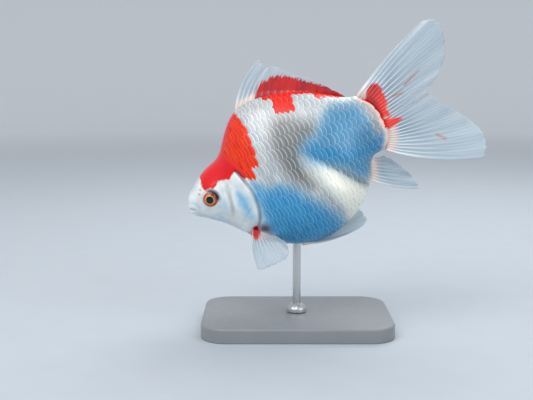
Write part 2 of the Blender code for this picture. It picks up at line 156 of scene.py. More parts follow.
def ramp(value, start, end):
    """0 up to start, 1 from end on, and an easy slope between. It falls with the value when end is below
    start."""
    share = np.clip((value - start) / (end - start), 0.0, 1.0)
    return share * share * (3 - 2 * share)


def hump(distance, width):
    return np.exp(-((distance / width) ** 2))


def from_point(point, x, z):
    return np.hypot(x - point[0], z - point[1])


def near_line(points, x, z):
    """For places (x, z): the distance to a smooth line, the share along it, and the distance with the
    side's sign, which is positive on the left of someone who walks the line."""
    shares = np.linspace(0.0, 1.0, 25 * (len(points) - 1) + 1)
    line = smooth_line(points)(shares * (len(points) - 1))
    walk = np.gradient(line, axis=0)
    best = np.full(x.shape, np.inf)
    which = np.zeros(x.shape, int)
    for i, (line_x, line_z) in enumerate(line):
        squared = (x - line_x) ** 2 + (z - line_z) ** 2
        closer = squared < best
        best = np.where(closer, squared, best)
        which = np.where(closer, i, which)
    left = walk[which, 0] * (z - line[which, 1]) - walk[which, 1] * (x - line[which, 0])
    distance = np.sqrt(best)
    return distance, shares[which], np.where(left > 0, distance, -distance)


body_lines = smooth_line(BODY_LINES)


def flank_relief(x, z):
    """How far the flank stands out beyond the plain sections, for the belly's bulge and the crease over
    it."""
    run = np.subtract(CREASE_FOOT, CREASE_TOP)
    length = np.hypot(*run)
    run = run / length
    off_x = x - CREASE_TOP[0]
    off_z = z - CREASE_TOP[1]
    grown = ramp((off_x * run[0] + off_z * run[1]) / length, 0.0, 1.0)
    across = off_z * run[0] - off_x * run[1]
    bulge = BELLY_BULGE * hump(across + BELLY_BULGE_WIDTH, BELLY_BULGE_WIDTH)
    return grown * (bulge - CREASE_DEPTH * hump(across, CREASE_WIDTH))


def body_points(places, angles):
    """Points of the smooth body at places along its lines and angles round it from the back, its right side
    first."""
    lines = np.moveaxis(body_lines(places), -1, 0)
    back_x, back_z, keel_x, keel_z, half_width, level, top_power, keel_power = lines
    up = np.cos(angles)
    side = np.sin(angles)
    height = level + up * np.where(up > 0, 1.0 - level, level)
    x = keel_x + (back_x - keel_x) * height
    z = keel_z + (back_z - keel_z) * height
    reach = np.abs(side) ** np.where(up > 0, top_power, keel_power)
    out = reach * (half_width + flank_relief(x, z) * np.minimum(half_width / 10, 1.0))
    return np.stack([x, np.copysign(out, side), z], -1)


def head_relief(x, z):
    """How far the worked skin stands out from the smooth body: eye rims, nostrils, lips, folds and gill
    covers."""
    from_eye = from_point(EYE_PLACE, x, z)
    relief = 0.30 * hump(from_eye - 5.2, 0.9) - 1.9 * ramp(from_eye, 4.3, 3.0)
    relief += 0.50 * hump(np.hypot(x - 15.0, (z - 3.6) * 1.4), 3.2)
    for nostril in NOSTRILS:
        from_nostril = from_point(nostril, x, z)
        relief += 0.10 * hump(from_nostril - 1.2, 0.6) - 0.45 * hump(from_nostril, 0.5)
    relief += 0.22 * hump(from_point(np.mean(NOSTRILS, axis=0), x, z), 0.8)

    distance, share, side = near_line(MOUTH, x, z)
    lips = 0.30 * hump(side - 1.4, 1.1) + 0.50 * hump(side + 1.5, 1.3) - 0.60 * hump(distance, 0.55)
    relief += lips * ramp(share, 1.0, 0.5)
    for line, depth, width, deepest, spread in FOLDS:
        distance, share, _ = near_line(line, x, z)
        relief -= depth * hump(distance, width) * hump(share - deepest, spread)
    distance, share, side = near_line(CHEEK_EDGE, x, z)
    cheek = 0.55 * hump(side - 2.0, 1.4) + 0.40 * hump(side + 2.0, 1.2) - 0.85 * hump(distance, 1.0)
    relief += cheek * ramp(share, 0.0, 0.2) * ramp(share, 1.0, 0.65)
    _, share, side = near_line(GILL_EDGE, x, z)
    cover = 0.75 * ramp(-side, -0.1, 0.5) * ramp(-side, 8.5, 1.5) - 1.10 * hump(side - 0.7, 0.8)
    relief += cover * ramp(share, 0.0, 0.1) * ramp(share, 1.0, 0.9)
    return relief - 1.6 * hump(from_point(AXIL, x, z), 2.4)


def beyond_stalk(x, z):
    """How far places lie behind the line where the tail fin's flesh takes over from the scales."""
    return np.where(x > 104.0, near_line(STALK_END, x, z)[2], -1000.0)


def scaled(x, z):
    """0 on the bare head and nape, 1 where the scales stand free of the skin's edge, and a slope between
    them."""
    front = ramp(near_line(SCALES_FRONT, x, z)[2], 0.0, 1.8)
    nape = ramp(near_line(BACK_LINE, x, z)[0] + ramp(x, 40.0, 48.0) * 2.0, 0.5, 1.8)
    return front * nape * ramp(beyond_stalk(x, z), 1.0, -0.6)


def spaced_places():
    """Places along the body's lines for the skin's rings, closer on the head."""
    fine = np.linspace(0.25, LAST_LINE - 0.25, 3000)
    lines = body_lines(fine)
    steps = np.abs(np.diff(lines[:, :5], axis=0)).max(axis=1)
    middle = (lines[1:, 0] + lines[1:, 2]) / 2
    spacing = HEAD_SPACING + (TRUNK_SPACING - HEAD_SPACING) * ramp(middle, HEAD_END - 2.0, HEAD_END + 4.0)
    run = np.concatenate([[0.0], np.cumsum(steps / spacing)])
    return np.interp(np.linspace(0.0, run[-1], int(run[-1]) + 1), run, fine)


def add_piece(name, points, faces):
    """Makes an object from points in the model's frame and lists of corners."""
    mesh = bpy.data.meshes.new(name)
    mesh.from_pydata(np.asarray(points, float).tolist(), [], faces)
    mesh.update()
    mesh.shade_smooth()
    piece = bpy.data.objects.new(name, mesh)
    bpy.context.scene.collection.objects.link(piece)
    return piece


def store(mesh, name, values, domain="POINT"):
    """Stores numbers, pairs or triples on a mesh, one for each point, or each corner, in order."""
    values = np.asarray(values, np.float32)
    kinds = {1: ("FLOAT", "value"), 2: ("FLOAT2", "vector"), 3: ("FLOAT_VECTOR", "vector")}
    kind, key = kinds[1 if values.ndim == 1 else values.shape[-1]]
    mesh.attributes.new(name, kind, domain).data.foreach_set(key, values.reshape(-1))


def unit(vectors):
    return vectors / np.maximum(np.linalg.norm(vectors, axis=-1, keepdims=True), 1e-12)


def outward(grid):
    """Unit directions out of a body whose points are a grid of rings by points round them."""
    around = np.roll(grid, -1, axis=1) - np.roll(grid, 1, axis=1)
    return unit(np.cross(np.gradient(grid, axis=0), around))


def skin_grid(places, angles):
    """The worked skin's points: rings at places on the body's lines, each with points at angles round it.
    It lies under the body's outer surface, and deeper where scales cover it."""
    smooth = body_points(places[:, None], angles)
    x, _, z = np.moveaxis(smooth, -1, 0)
    inset = HEAD_INSET + (COAT_DEPTH - HEAD_INSET) * scaled(x, z)
    return smooth + outward(smooth) * (head_relief(x, z) - inset)[..., None]


def grid_faces(grid):
    """Quads between the rows and columns of a grid of point numbers."""
    return np.stack([grid[:-1, :-1], grid[1:, :-1], grid[1:, 1:], grid[:-1, 1:]], -1).reshape(-1, 4)


def tube_faces(rings, round_points):
    """Quads of a closed tube whose points are stored ring after ring, facing out."""
    grid = np.arange(rings * round_points).reshape(rings, round_points)
    return grid_faces(np.append(grid, grid[:, :1], axis=1)).tolist()


# Markings, as outlines (x, z) on the fish's side. They are the same on both sides of the fish. The reds are
# the front patch, the saddle and the spot over the pectoral fin.
REDS = (
    (
        (9, 16), (10.7, 10), (10.9, 6.2), (11.3, 3.4), (12.6, 2.2), (15, 2.5), (17.2, 2), (19, 3.4),
        (21.2, 4.7), (24.6, 4.1), (27.5, 4), (30, 6), (32, 5.2), (34.5, 1.3), (38, 1.6), (43.2, 2.8),
        (45.1, 5.3), (46, 10), (45.2, 15), (44.6, 19), (45.4, 24.3), (45, 29.8), (42.4, 33.5), (40, 42),
        (30, 40), (18, 28),
    ),
    (
        (53, 42), (56, 36.8), (60, 35.5), (62.2, 33.5), (61.9, 30), (62.8, 25.6), (64.8, 23.8),
        (66.8, 25.2), (68.8, 24), (72.4, 25.4), (74.4, 28.2), (75, 31.2), (79, 30.6), (83.5, 28.8),
        (85.7, 26.2), (87.2, 23.8), (89.5, 22.8), (93.5, 22.4), (96.2, 21.7), (100, 24), (93, 34), (76, 47),
    ),
    ((29, -24.3), (31.2, -25.2), (30.8, -28), (29.4, -30), (27.8, -28.5)),
)
# Painted light, as outlines (x, z) on the same side: blue painted reflection on the belly, the rear, the gill
# cover, the cheek and a band over the crease; a cream painted highlight on the belly's bulge, where light
# from above falls; and grey painted shade on the mid flank, which faces away from the lights.
BELLY_REFLECTION = (
    (36.2, -2), (42.1, -4), (50, -6.2), (56.1, -9.2), (60, -13.5), (65, -19.5), (70.9, -27.5), (76.4, -38),
    (70, -52), (50, -56), (36, -48), (34.5, -30),
)
REAR_REFLECTION = (
    (64, 4), (72, 8.5), (80, 14.5), (86, 20.5), (94, 21.5), (104, 17), (110, 10), (115, 2), (115, -8),
    (108, -15), (99, -24), (90, -23.5), (80, -11), (72, -1.5),
)
GILL_REFLECTION = ((28.8, -2.5), (32.5, -6), (33.4, -13), (32.2, -20.5), (28, -19), (26.2, -12), (26.2, -5.5))
CHEEK_REFLECTION = ((19, -4), (22.2, -5), (21.6, -11), (19.5, -15), (14, -12.5), (17, -8))
BAND_REFLECTION = ((74, 1), (83, -4), (93, -8.5), (103, -10.5), (112, -8))
BELLY_HIGHLIGHT = (
    (65.3, 1.2), (70, -1), (76, -7.5), (83, -16), (91, -25), (95, -33), (86, -44), (77.5, -44),
    (77.5, -33.9), (74.5, -26.3), (71.6, -19.2), (67.2, -11.7),
)
SHADED_FLANK = (
    (56, 20), (64, 24), (73, 19), (80, 11), (71, 4), (67, -5), (67.5, -15), (61, -12), (56, -5), (54, 8),
)


def inside(outline, x, z):
    """How far places (x, z) are inside a smooth closed outline, in millimetres, and negative outside it."""
    closed = (*outline[-2:], *outline, *outline[:3])
    line = smooth_line(closed)(np.linspace(2.0, len(outline) + 2.0, 10 * len(outline) + 1))
    best = np.full(x.shape, np.inf)
    crossings = np.zeros(x.shape, int)
    for (near_x, near_z), (far_x, far_z) in zip(line, line[1:]):
        run_x = far_x - near_x
        run_z = far_z - near_z
        share = np.clip(((x - near_x) * run_x + (z - near_z) * run_z) / (run_x**2 + run_z**2), 0.0, 1.0)
        best = np.minimum(best, (x - near_x - share * run_x) ** 2 + (z - near_z - share * run_z) ** 2)
        if near_z != far_z:
            level = (near_z > z) != (far_z > z)
            crossings += level & (x < near_x + (z - near_z) * run_x / run_z)
    return np.where(crossings % 2 == 1, 1.0, -1.0) * np.sqrt(best)


def body_marks(x, z):
    """The body's markings at places (x, z): how far inside the red (mm), how crimson and how peach, and the
    painted light on the pearly scales: blue painted reflection, cream painted highlight with the tail root's
    flesh, and grey painted shade."""
    past = beyond_stalk(x, z)
    behind_front = near_line(SCALES_FRONT, x, z)[2]
    at_tail = np.minimum(past + 1.0, np.minimum(z + 3.4, 15.8 - z))
    red = np.max([at_tail, *(inside(outline, x, z) for outline in REDS)], axis=0)
    on_nape = ramp(near_line(BACK_LINE, x, z)[0], 4.0, 2.0) * ramp(x, 52.0, 46.0)
    crimson = np.where(x > 50.0, 0.75, np.maximum(ramp(behind_front, 3.0, -1.0), on_nape))
    flesh = ramp(past, -3.6, -0.8)
    stalk_pink = 0.5 * ramp(x, 106.0, 115.0) + 0.5 * ramp(z, 15.0, 21.0) * ramp(x, 94.0, 102.0)
    at_nostrils = [0.9 * hump(from_point(nostril, x, z), 1.0) for nostril in NOSTRILS]
    peach = np.max([stalk_pink, flesh, *at_nostrils], axis=0)

    rear = ramp(inside(REAR_REFLECTION, x, z), -4.0, 8.0)
    above_crease = near_line((CREASE_TOP, CREASE_FOOT), x, z)[2]
    crease_shade = hump(above_crease - 1.2, 2.2) * ramp(x, 64.0, 74.0) * ramp(x, 98.0, 92.0)
    stalk_end = 0.7 * ramp(x, 103.0, 111.0) * ramp(z, -10.0, 0.0)
    # Blue painted reflection: on the belly, the rear, a band over the crease, the gill cover, the cheek and
    # along the jaw.
    blue_reflections = (
        ramp(inside(BELLY_REFLECTION, x, z), -4.0, 9.5) ** 0.8,
        (0.74 - 0.28 * ramp(z, 10.0, 26.0)) * rear,
        hump(near_line(BAND_REFLECTION, x, z)[0], 7.5),
        0.46 * ramp(inside(GILL_REFLECTION, x, z), -3.4, 3.4),
        0.34 * ramp(inside(CHEEK_REFLECTION, x, z), -4.0, 4.0),
        0.34 * hump(near_line(JAW_LINE, x, z)[0], 3.4),
    )
    highlight_and_flesh = ramp(inside(BELLY_HIGHLIGHT, x, z), -2.6, 3.0) * (0.40 + 0.60 * ramp(x, 68.0, 80.0))
    # Grey painted shade: the mid flank that faces away from the lights, the dull rear, a little behind the
    # scales' front edge, along the crease and at the stalk's end.
    grey_shades = (
        0.95 * ramp(inside(SHADED_FLANK, x, z), -8.0, 5.5),
        0.70 * rear,
        0.20 * ramp(behind_front, 3.0, 10.0),
        crease_shade,
        stalk_end,
    )
    blue_reflection = np.max(blue_reflections, axis=0) * (1 - stalk_end)
    # The cream painted highlight fades in the crease's painted shade, and the tail root's flesh takes the
    # same pale tone.
    highlight_and_flesh = np.maximum(highlight_and_flesh * (1 - 0.8 * crease_shade), flesh)
    return np.stack([red, crimson, peach], -1), np.stack([blue_reflection, highlight_and_flesh, np.max(grey_shades, axis=0)], -1)


def skin_shade(x, z):
    """Painted shade where the head's grooves would be shaded: the gill opening, the cheek's edge, the mouth,
    the axil, the nostrils and round the eye, most above and behind it."""
    _, share, side = near_line(GILL_EDGE, x, z)
    gill = 0.48 * hump(side - 0.8, 1.0) * ramp(share, 0.02, 0.1) * ramp(share, 1.0, 0.9)
    gill_top = hump(side - 0.5, 0.7) * ramp(share, 0.0, 0.03) * ramp(share, 0.42, 0.16)
    distance, share, _ = near_line(CHEEK_EDGE, x, z)
    cheek = 0.38 * hump(distance, 1.2) * ramp(share, 0.05, 0.4) * ramp(share, 1.0, 0.7)
    distance, share, _ = near_line(MOUTH, x, z)
    mouth = 0.40 * hump(distance, 0.5) * ramp(share, 1.0, 0.5)
    axil = 1.10 * hump(np.hypot((x - AXIL[0]) * 0.85 + (z - AXIL[1]) * 0.3, z - AXIL[1]), 3.4)
    nostrils = [0.35 * hump(from_point(nostril, x, z), 0.5) for nostril in NOSTRILS]
    upper_rear = ramp((x - EYE_PLACE[0]) + (z - EYE_PLACE[1]) * 0.7, 0.0, 5.0)
    eye = 0.85 * hump(from_point(EYE_PLACE, x, z) - 4.5, 0.9) * (0.12 + 0.88 * upper_rear)
    return np.max([gill, gill_top, cheek, mouth, axil, *nostrils, eye], axis=0)


grid = skin_grid(spaced_places(), np.linspace(0.0, math.tau, ROUND_POINTS, endpoint=False)[None, :])
rings = len(grid)
tip = rings * ROUND_POINTS
snout_tip = grid[0].mean(axis=0) - (0.15, 0.0, 0.0)
tail_end = grid[-1].mean(axis=0) + (0.05, 0.0, 0.0)
skin_points = np.concatenate([grid.reshape(-1, 3), [snout_tip, tail_end]])
faces = tube_faces(rings, ROUND_POINTS)

# The skin's own unwrap: along the body by round it, with its seam on the back.
i, j = np.divmod(np.arange((rings - 1) * ROUND_POINTS), ROUND_POINTS)
on_map = np.transpose([[i + 1, i + 2, i + 2, i + 1], [j, j, j + 1, j + 1]], (2, 1, 0)).reshape(-1, 2).tolist()
for j in range(ROUND_POINTS):
    k = (j + 1) % ROUND_POINTS
    faces.append([tip, j, k])
    on_map += [(0, j + 0.5), (1, j), (1, j + 1)]
    faces.append([tip + 1, tip - ROUND_POINTS + k, tip - ROUND_POINTS + j])
    on_map += [(rings + 1, j + 0.5), (rings, j + 1), (rings, j)]
skin = add_piece("skin", in_the_world(skin_points), faces)
# The second set is painted light: the blue painted reflection, the cream painted highlight and the grey
# painted shade.
marks, tones = body_marks(skin_points[:, 0], skin_points[:, 2])
store(skin.data, "marks", marks)
store(skin.data, "tones", tones)
store(skin.data, "shade", skin_shade(skin_points[:, 0], skin_points[:, 2]))
store(skin.data, "OFBake", 0.01 + 0.98 * np.array(on_map) / (rings + 1, ROUND_POINTS), "CORNER")


# ---- the skin's finish


def paint(colour):
    """A colour from its red, green and blue (0 to 255, as on a screen), as shaders take it."""
    shares = np.array(colour) / 255.0
    linear = np.where(shares > 0.04045, ((shares + 0.055) / 1.055) ** 2.4, shares / 12.92)
    return (*linear.tolist(), 1.0)


def feed(node, inputs):
    """Links signals to a node's inputs, or sets the inputs' own values."""
    for name, value in inputs.items():
        if isinstance(value, Signal):
            node.id_data.links.new(value.socket, node.inputs[name])
        else:
            node.inputs[name].default_value = value


def signal(tree, kind, output, inputs, **settings):
    """Adds a node to a tree, feeds its inputs and gives one of its outputs."""
    node = tree.nodes.new(kind)
    for name, value in settings.items():
        setattr(node, name, value)
    feed(node, inputs)
    return Signal(node.outputs[output])


class Signal:
    """An output of a node. Arithmetic on it adds the nodes that do the arithmetic."""

    def __init__(self, socket):
        self.socket = socket
        self.tree = socket.id_data

    def maths(self, operation, other=0.0, third=0.0, clamp=False):
        inputs = {0: self, 1: other, 2: third}
        return signal(self.tree, "ShaderNodeMath", 0, inputs, operation=operation, use_clamp=clamp)

    def __add__(self, other):
        return self.maths("ADD", other)

    def __sub__(self, other):
        return self.maths("SUBTRACT", other)

    def __rsub__(self, other):
        return self.maths("MULTIPLY_ADD", -1.0, other)

    def __mul__(self, other):
        return self.maths("MULTIPLY", other)

    def __truediv__(self, other):
        return self.maths("DIVIDE", other)

    def most(self, other):
        return self.maths("MAXIMUM", other)

    def size(self):
        return self.maths("ABSOLUTE")

    def clamped(self):
        return self.maths("ADD", clamp=True)


def slope(value, start, end):
    """0 at start and 1 at end, with an easy slope between them."""
    inputs = {"Value": value, "From Min": start, "From Max": end}
    return signal(value.tree, "ShaderNodeMapRange", 0, inputs, interpolation_type="SMOOTHSTEP")


def mix(share, first, second):
    """Mixes two colours by a share. Each is a signal or red, green and blue from 0 to 255."""
    first, second = (paint(colour) if isinstance(colour, tuple) else colour for colour in (first, second))
    return signal(share.tree, "ShaderNodeMixRGB", 0, {0: share, 1: first, 2: second})


def clouds(place, size, detail=3.0, roughness=0.5):
    """Soft noise from 0 to 1 with patches of a size in metres."""
    inputs = {"Vector": place, "Scale": 1.0 / size, "Detail": detail, "Roughness": roughness}
    return signal(place.tree, "ShaderNodeTexNoise", "Fac", inputs)


def parted(vector):
    """The three numbers of a vector."""
    split = signal(vector.tree, "ShaderNodeSeparateXYZ", 0, {0: vector})
    return [Signal(socket) for socket in split.socket.node.outputs]


def joined(x, y, z):
    """A vector from its numbers, of which the second at least is a signal."""
    return signal(y.tree, "ShaderNodeCombineXYZ", 0, {0: x, 1: y, 2: z})


def attribute(tree, name):
    """A number that the mesh carries."""
    return signal(tree, "ShaderNodeAttribute", "Fac", {}, attribute_name=name)


def attributes(tree, name):
    """The three numbers that the mesh carries under one name."""
    return parted(signal(tree, "ShaderNodeAttribute", "Vector", {}, attribute_name=name))


def bumped(height, distance, strength):
    """A normal that a height bends."""
    inputs = {"Height": height, "Distance": distance, "Strength": strength}
    return signal(height.tree, "ShaderNodeBump", 0, inputs)


def new_finish(name):
    """A material, and its place in the object's coordinates."""
    finish = bpy.data.materials.new(name)
    finish.use_nodes = True
    return finish, signal(finish.node_tree, "ShaderNodeTexCoord", "Object", {})


def finished(finish, inputs):
    """Feeds the inputs of a material's shader."""
    feed(finish.node_tree.nodes["Principled BSDF"], inputs)
    return finish


def fish_colours(place, softness, raggedness):
    """The fish's colours from its markings: pearly white with blue painted reflection, cream painted
    highlight and grey painted shade, and the red patches, whose edge has a softness and a raggedness (mm). It
    gives the colour and the red's share."""
    inside_red, crimson, peach = attributes(place.tree, "marks")
    blue_reflection, highlight_and_flesh, grey = attributes(place.tree, "tones")
    edge = inside_red + (clouds(place, 0.0018) - 0.5) * raggedness
    red = (edge / softness * 0.5 + 0.5).clamped()

    white = mix(slope(clouds(place, 0.008), 0.32, 0.68), (238, 240, 238), (206, 217, 224))
    white = mix(slope(clouds(place, 0.013, 2.0), 0.48, 0.75) * 0.6, white, (234, 226, 214))
    # Grey painted shade darkens the pearly white.
    colour = mix(grey, white, (82, 80, 74))
    # Blue painted reflection: azure, darker in the grey painted shade, with a paler azure at its fringe.
    azure = mix(clouds(place, 0.006, 2.0), (0, 140, 212), (40, 174, 230))
    azure = mix(grey * 0.9, azure, (36, 106, 148))
    reflection_share = (blue_reflection * (clouds(place, 0.0045, 2.0) * 0.8 + 0.60)).clamped()
    colour = mix(slope(reflection_share, 0.0, 0.7) * 0.8, colour, mix(grey, (124, 198, 226), (104, 156, 182)))
    colour = mix(slope(reflection_share, 0.15, 0.90), colour, azure)
    # Cream painted highlight, which also colours the tail root's flesh.
    colour = mix(highlight_and_flesh * 0.95, colour, (250, 250, 234))
    colour = mix(peach * 0.55, colour, (232, 176, 158))
    orange = mix(clouds(place, 0.0045), (246, 54, 4), (220, 26, 2))
    deep = mix(clouds(place, 0.003), (236, 2, 26), (212, 0, 16))
    return mix(red, colour, mix(crimson, orange, deep)), red


def skin_finish():
    """Wet skin: markings, a fine grain of pores, painted shade in the grooves and a clear slime coat."""
    finish, place = new_finish("wet_skin")
    colour, red = fish_colours(place, 0.4, 2.4)
    speckle = slope(clouds(place, 0.0009, 2.0), 0.35, 0.75) * 0.14 * (1.0 - red)
    colour = mix(speckle, colour, (250, 252, 252))
    # Painted shade in the grooves: dusky grey-violet, and dark red within the red.
    shade = attribute(place.tree, "shade") * (clouds(place, 0.0014) * 0.5 + 0.75)
    colour = mix((shade * 0.9).clamped(), colour, mix(red, (76, 66, 82), (100, 8, 16)))
    inputs = {
        "Base Color": colour,
        "Roughness": clouds(place, 0.0035, 4.0) * 0.22 + 0.24,
        "Normal": bumped(clouds(place, 0.0006) + clouds(place, 0.003) * 1.5, 0.00005, 0.5),
        "Subsurface Weight": 0.12,
        "Subsurface Radius": (0.0030, 0.0012, 0.0010),
        "Subsurface Scale": 1.0,
        "Specular IOR Level": 0.3,
        "Coat Weight": 0.35,
        "Coat Roughness": 0.10,
    }
    return finished(finish, inputs)


skin.data.materials.append(skin_finish())
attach(skin, "root")
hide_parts("head", "lower_jaw", "opercle_left", "opercle_right", "trunk_back", "trunk_belly", "tail_stalk")


# ---------------------------------------------------------------- the scales
# Each scale is a thin pearly plate that grows from a pocket in the skin and covers the roots of those
# behind it. They stand in rows above and below the lateral line, with every other row set back by half a
# scale. One plate is laid at every root and bent over the skin.

# Values along the flank, as pairs of x and value: the lateral line's height, the height of the rows, the
# distance between scales in a row, and each scale's height in rows and roundness.
LATERAL_LINE = ((30, 5.8), (45, 5), (62, 3), (80, 1), (100, -0.8), (117.2, -2.5))
ROW_HEIGHTS = ((30, 5.8), (45, 6.3), (60, 6.5), (78, 6.2), (92, 5.6), (103, 5), (117, 4.5))
SCALE_PITCHES = ((30, 2.2), (55, 2.4), (75, 2.8), (90, 3.3), (106, 4), (117, 4.2))
SCALE_HEIGHTS = ((30, 1.18), (62, 1.22), (85, 1.38), (117, 1.45))
SCALE_ROUNDNESS = ((30, 0.20), (70, 0.26), (95, 0.38), (117, 0.42))
SCALE_LENGTH = 2.4
SCALE_SUNK = 0.14
SCALE_LIFT = 0.46
SCALE_DOME = 0.12
SCALE_THICKNESS = 0.15
FULL_LIFT_PITCH = 3.1
SCALE_UNEVENNESS = 0.30
SCALE_ROWS = range(-14, 10)
MIDLINE_MARGIN = 0.4
FRONT_MARGIN = 1.2
STALK_MARGIN = 0.2
# How far a scale strays along its row and across it, and in its length.
SCALE_STRAY = (0.07, 0.05, 0.04)
# Where along its length a scale's red and crimson are read, how deep it sinks where the skin is bare, and
# its size on its own map.
MARKED_AT = 0.78
BURIED_DEPTH = 1.5
PATCH = 0.003
# Rings and points of the unrolled skin that the scales are laid on.
LAY_RINGS = 190
LAY_POINTS = 240


def lay_sheet():
    """A copy of the skin's surface unrolled on a map: along the body by round it from the back, its right
    side first. It carries the directions out of the skin and the markings, and only guides the scales."""
    places = np.linspace(4.7, LAST_LINE - 0.22, LAY_RINGS)
    even = np.linspace(0.0, 1.0, LAY_POINTS, endpoint=False)
    dense = np.linspace(0.0, math.tau, 721)
    steps = np.linalg.norm(np.diff(body_points(places[:, None], dense[None, :]), axis=1), axis=-1)
    run = np.concatenate([np.zeros((LAY_RINGS, 1)), np.cumsum(steps, axis=1)], axis=1)
    angles = np.array([np.interp(even * line[-1], line, dense) for line in run])
    return skin_grid(places, angles), run[:, -1]


def at_lines(table, x):
    """A value at x from pairs of x and value."""
    return np.interp(x, *np.transpose(table))


sheet, girth = lay_sheet()
half = LAY_POINTS // 2
round_share = np.arange(LAY_POINTS + 1) / LAY_POINTS
lateral_share = np.empty(LAY_RINGS)
for i in range(LAY_RINGS):
    above_line = sheet[i, : half + 1, 2] - at_lines(LATERAL_LINE, sheet[i, : half + 1, 0])
    lateral_share[i] = np.interp(0.0, above_line[::-1], round_share[: half + 1][::-1])
lateral_index = np.clip((lateral_share * LAY_POINTS).astype(int), 0, half)
lateral_points = sheet[np.arange(LAY_RINGS), lateral_index]
run_along = np.concatenate([[0.0], np.cumsum(np.linalg.norm(np.diff(lateral_points, axis=0), axis=1))])
run_length = run_along[-1]


def sheet_place(along, share):
    """The point of the sheet at a run along the flank and a share of the way round."""
    ring = np.interp(along, run_along, np.arange(LAY_RINGS))
    i = min(int(ring), LAY_RINGS - 2)
    column = share * LAY_POINTS
    j = min(int(column), LAY_POINTS - 1)
    k = (j + 1) % LAY_POINTS
    near, far = sheet[i : i + 2, j] * (1 - (column - j)) + sheet[i : i + 2, k] * (column - j)
    return near + (far - near) * (ring - i)


def scale_roots():
    """Every scale of the right side, as its run and shares round the body at root and tip, its half height
    on the unrolled sheet, its lift (mm) and its roundness."""
    chance = np.random.default_rng(11)
    fine = np.linspace(0.0, run_length, 2000)
    fine_x = np.interp(fine, run_along, lateral_points[:, 0])
    columns = np.concatenate([[0.0], np.cumsum(np.diff(fine) / at_lines(SCALE_PITCHES, fine_x[1:]))])
    found = []
    for row in SCALE_ROWS:
        for column in range(int(columns[-1]) + 1):
            shift_on, shift_up, stretch = chance.uniform(-1.0, 1.0, 3) * SCALE_STRAY
            start = float(np.interp(column + 0.5 * (row % 2) + shift_on, columns, fine))
            start_x = np.interp(start, fine, fine_x)
            pitch = at_lines(SCALE_PITCHES, start_x) * (1 + stretch)
            end = min(start + SCALE_LENGTH * pitch, run_length - 0.3)
            if end - start < 0.95 * pitch:
                continue
            ends = np.array((start, end))
            height = at_lines(ROW_HEIGHTS, np.interp(ends, fine, fine_x))
            rounds = np.interp(ends, run_along, girth)
            lateral = np.interp(ends, run_along, lateral_share)
            shares = lateral - (row + 0.5 + shift_up) * height / rounds
            reach = at_lines(SCALE_HEIGHTS, start_x) / 2 * float(np.mean(height / rounds))
            margin = MIDLINE_MARGIN / rounds[0]
            top = max(shares.mean() - reach, margin)
            foot = min(shares.mean() + reach, 0.5 - margin)
            if foot - top < 0.9 * reach:
                continue
            shares = shares + (top + foot) / 2 - shares.mean()
            reach = (foot - top) / 2
            shares = np.clip(shares, margin + reach, 0.5 - margin - reach)
            x, _, z = sheet_place(end, shares[1])[:, None]
            if near_line(SCALES_FRONT, x, z)[2][0] < FRONT_MARGIN or beyond_stalk(x, z)[0] > -STALK_MARGIN:
                continue
            lift = SCALE_LIFT * (0.6 + 0.4 * pitch / FULL_LIFT_PITCH)
            found.append((start, end, *shares, reach, lift, at_lines(SCALE_ROUNDNESS, start_x)))
    return np.transpose(found)


def plate_faces(rows, columns):
    """Quads of a closed plate whose points are an upper grid of rows and columns, then the same grid under
    it."""
    grid = np.arange(rows * columns).reshape(rows, columns)
    upper = grid_faces(grid)
    rim = np.concatenate([grid[0], grid[1:, -1], grid[-1, -2::-1], grid[-2:0:-1, 0]])
    after = np.roll(rim, -1)
    edge = np.stack([rim, after, after + grid.size, rim + grid.size], -1)
    return np.concatenate([upper, upper[:, ::-1] + grid.size, edge]).tolist()


def scale_shape():
    """One scale as a closed plate. Each point carries its share along (0 root, 1 free edge) and across (-1
    to 1), and how high it stands, in shares of the scale's lift. The tree bends it over the skin."""
    along_lines = (0.0, 0.42, 0.72, 0.90, 1.0)
    across_lines = (-1.0, -0.74, -0.40, 0.0, 0.40, 0.74, 1.0)
    under, along, across = np.meshgrid((0, 1), along_lines, across_lines, indexing="ij")
    across_form = across * (1.0 - 0.30 * (1.0 - along) ** 2)
    rise = along**1.15 - 0.18 * (along > 0.95)
    rise = rise + (SCALE_DOME * (1 - across**2) * along - SCALE_THICKNESS * under) / SCALE_LIFT
    mesh = bpy.data.meshes.new("scale_shape")
    mesh.from_pydata([(0.0, 0.0, 0.0)] * rise.size, [], plate_faces(len(along_lines), len(across_lines)))
    store(mesh, "form", np.stack([along, across_form, rise], -1))
    store(mesh, "shares", np.stack([along, across, 0 * across], -1))
    return bpy.data.objects.new("scale_shape", mesh)


def sheet_object():
    """The unrolled sheet as a mesh whose map is (share along the flank, share round the body)."""
    closed = np.concatenate([sheet, sheet[:, :1]], axis=1).reshape(-1, 3)
    out = outward(in_the_world(sheet))
    out = np.concatenate([out, out[:, :1]], axis=1).reshape(-1, 3)
    corner = np.arange(LAY_RINGS * (LAY_POINTS + 1)).reshape(LAY_RINGS, -1)
    faces = grid_faces(corner)
    guide = add_piece("skin_lay", in_the_world(closed), faces.tolist())
    on_map = np.broadcast_arrays((run_along / run_length)[:, None], round_share[None, :])
    marks, tones = body_marks(closed[:, 0], closed[:, 2])
    store(guide.data, "marks", marks)
    store(guide.data, "tones", tones)
    store(guide.data, "out", out)
    store(guide.data, "cover", np.stack([scaled(closed[:, 0], closed[:, 2])] * 3, -1))
    store(guide.data, "map", np.stack(on_map, -1).reshape(-1, 2)[faces.reshape(-1)], "CORNER")
    return guide


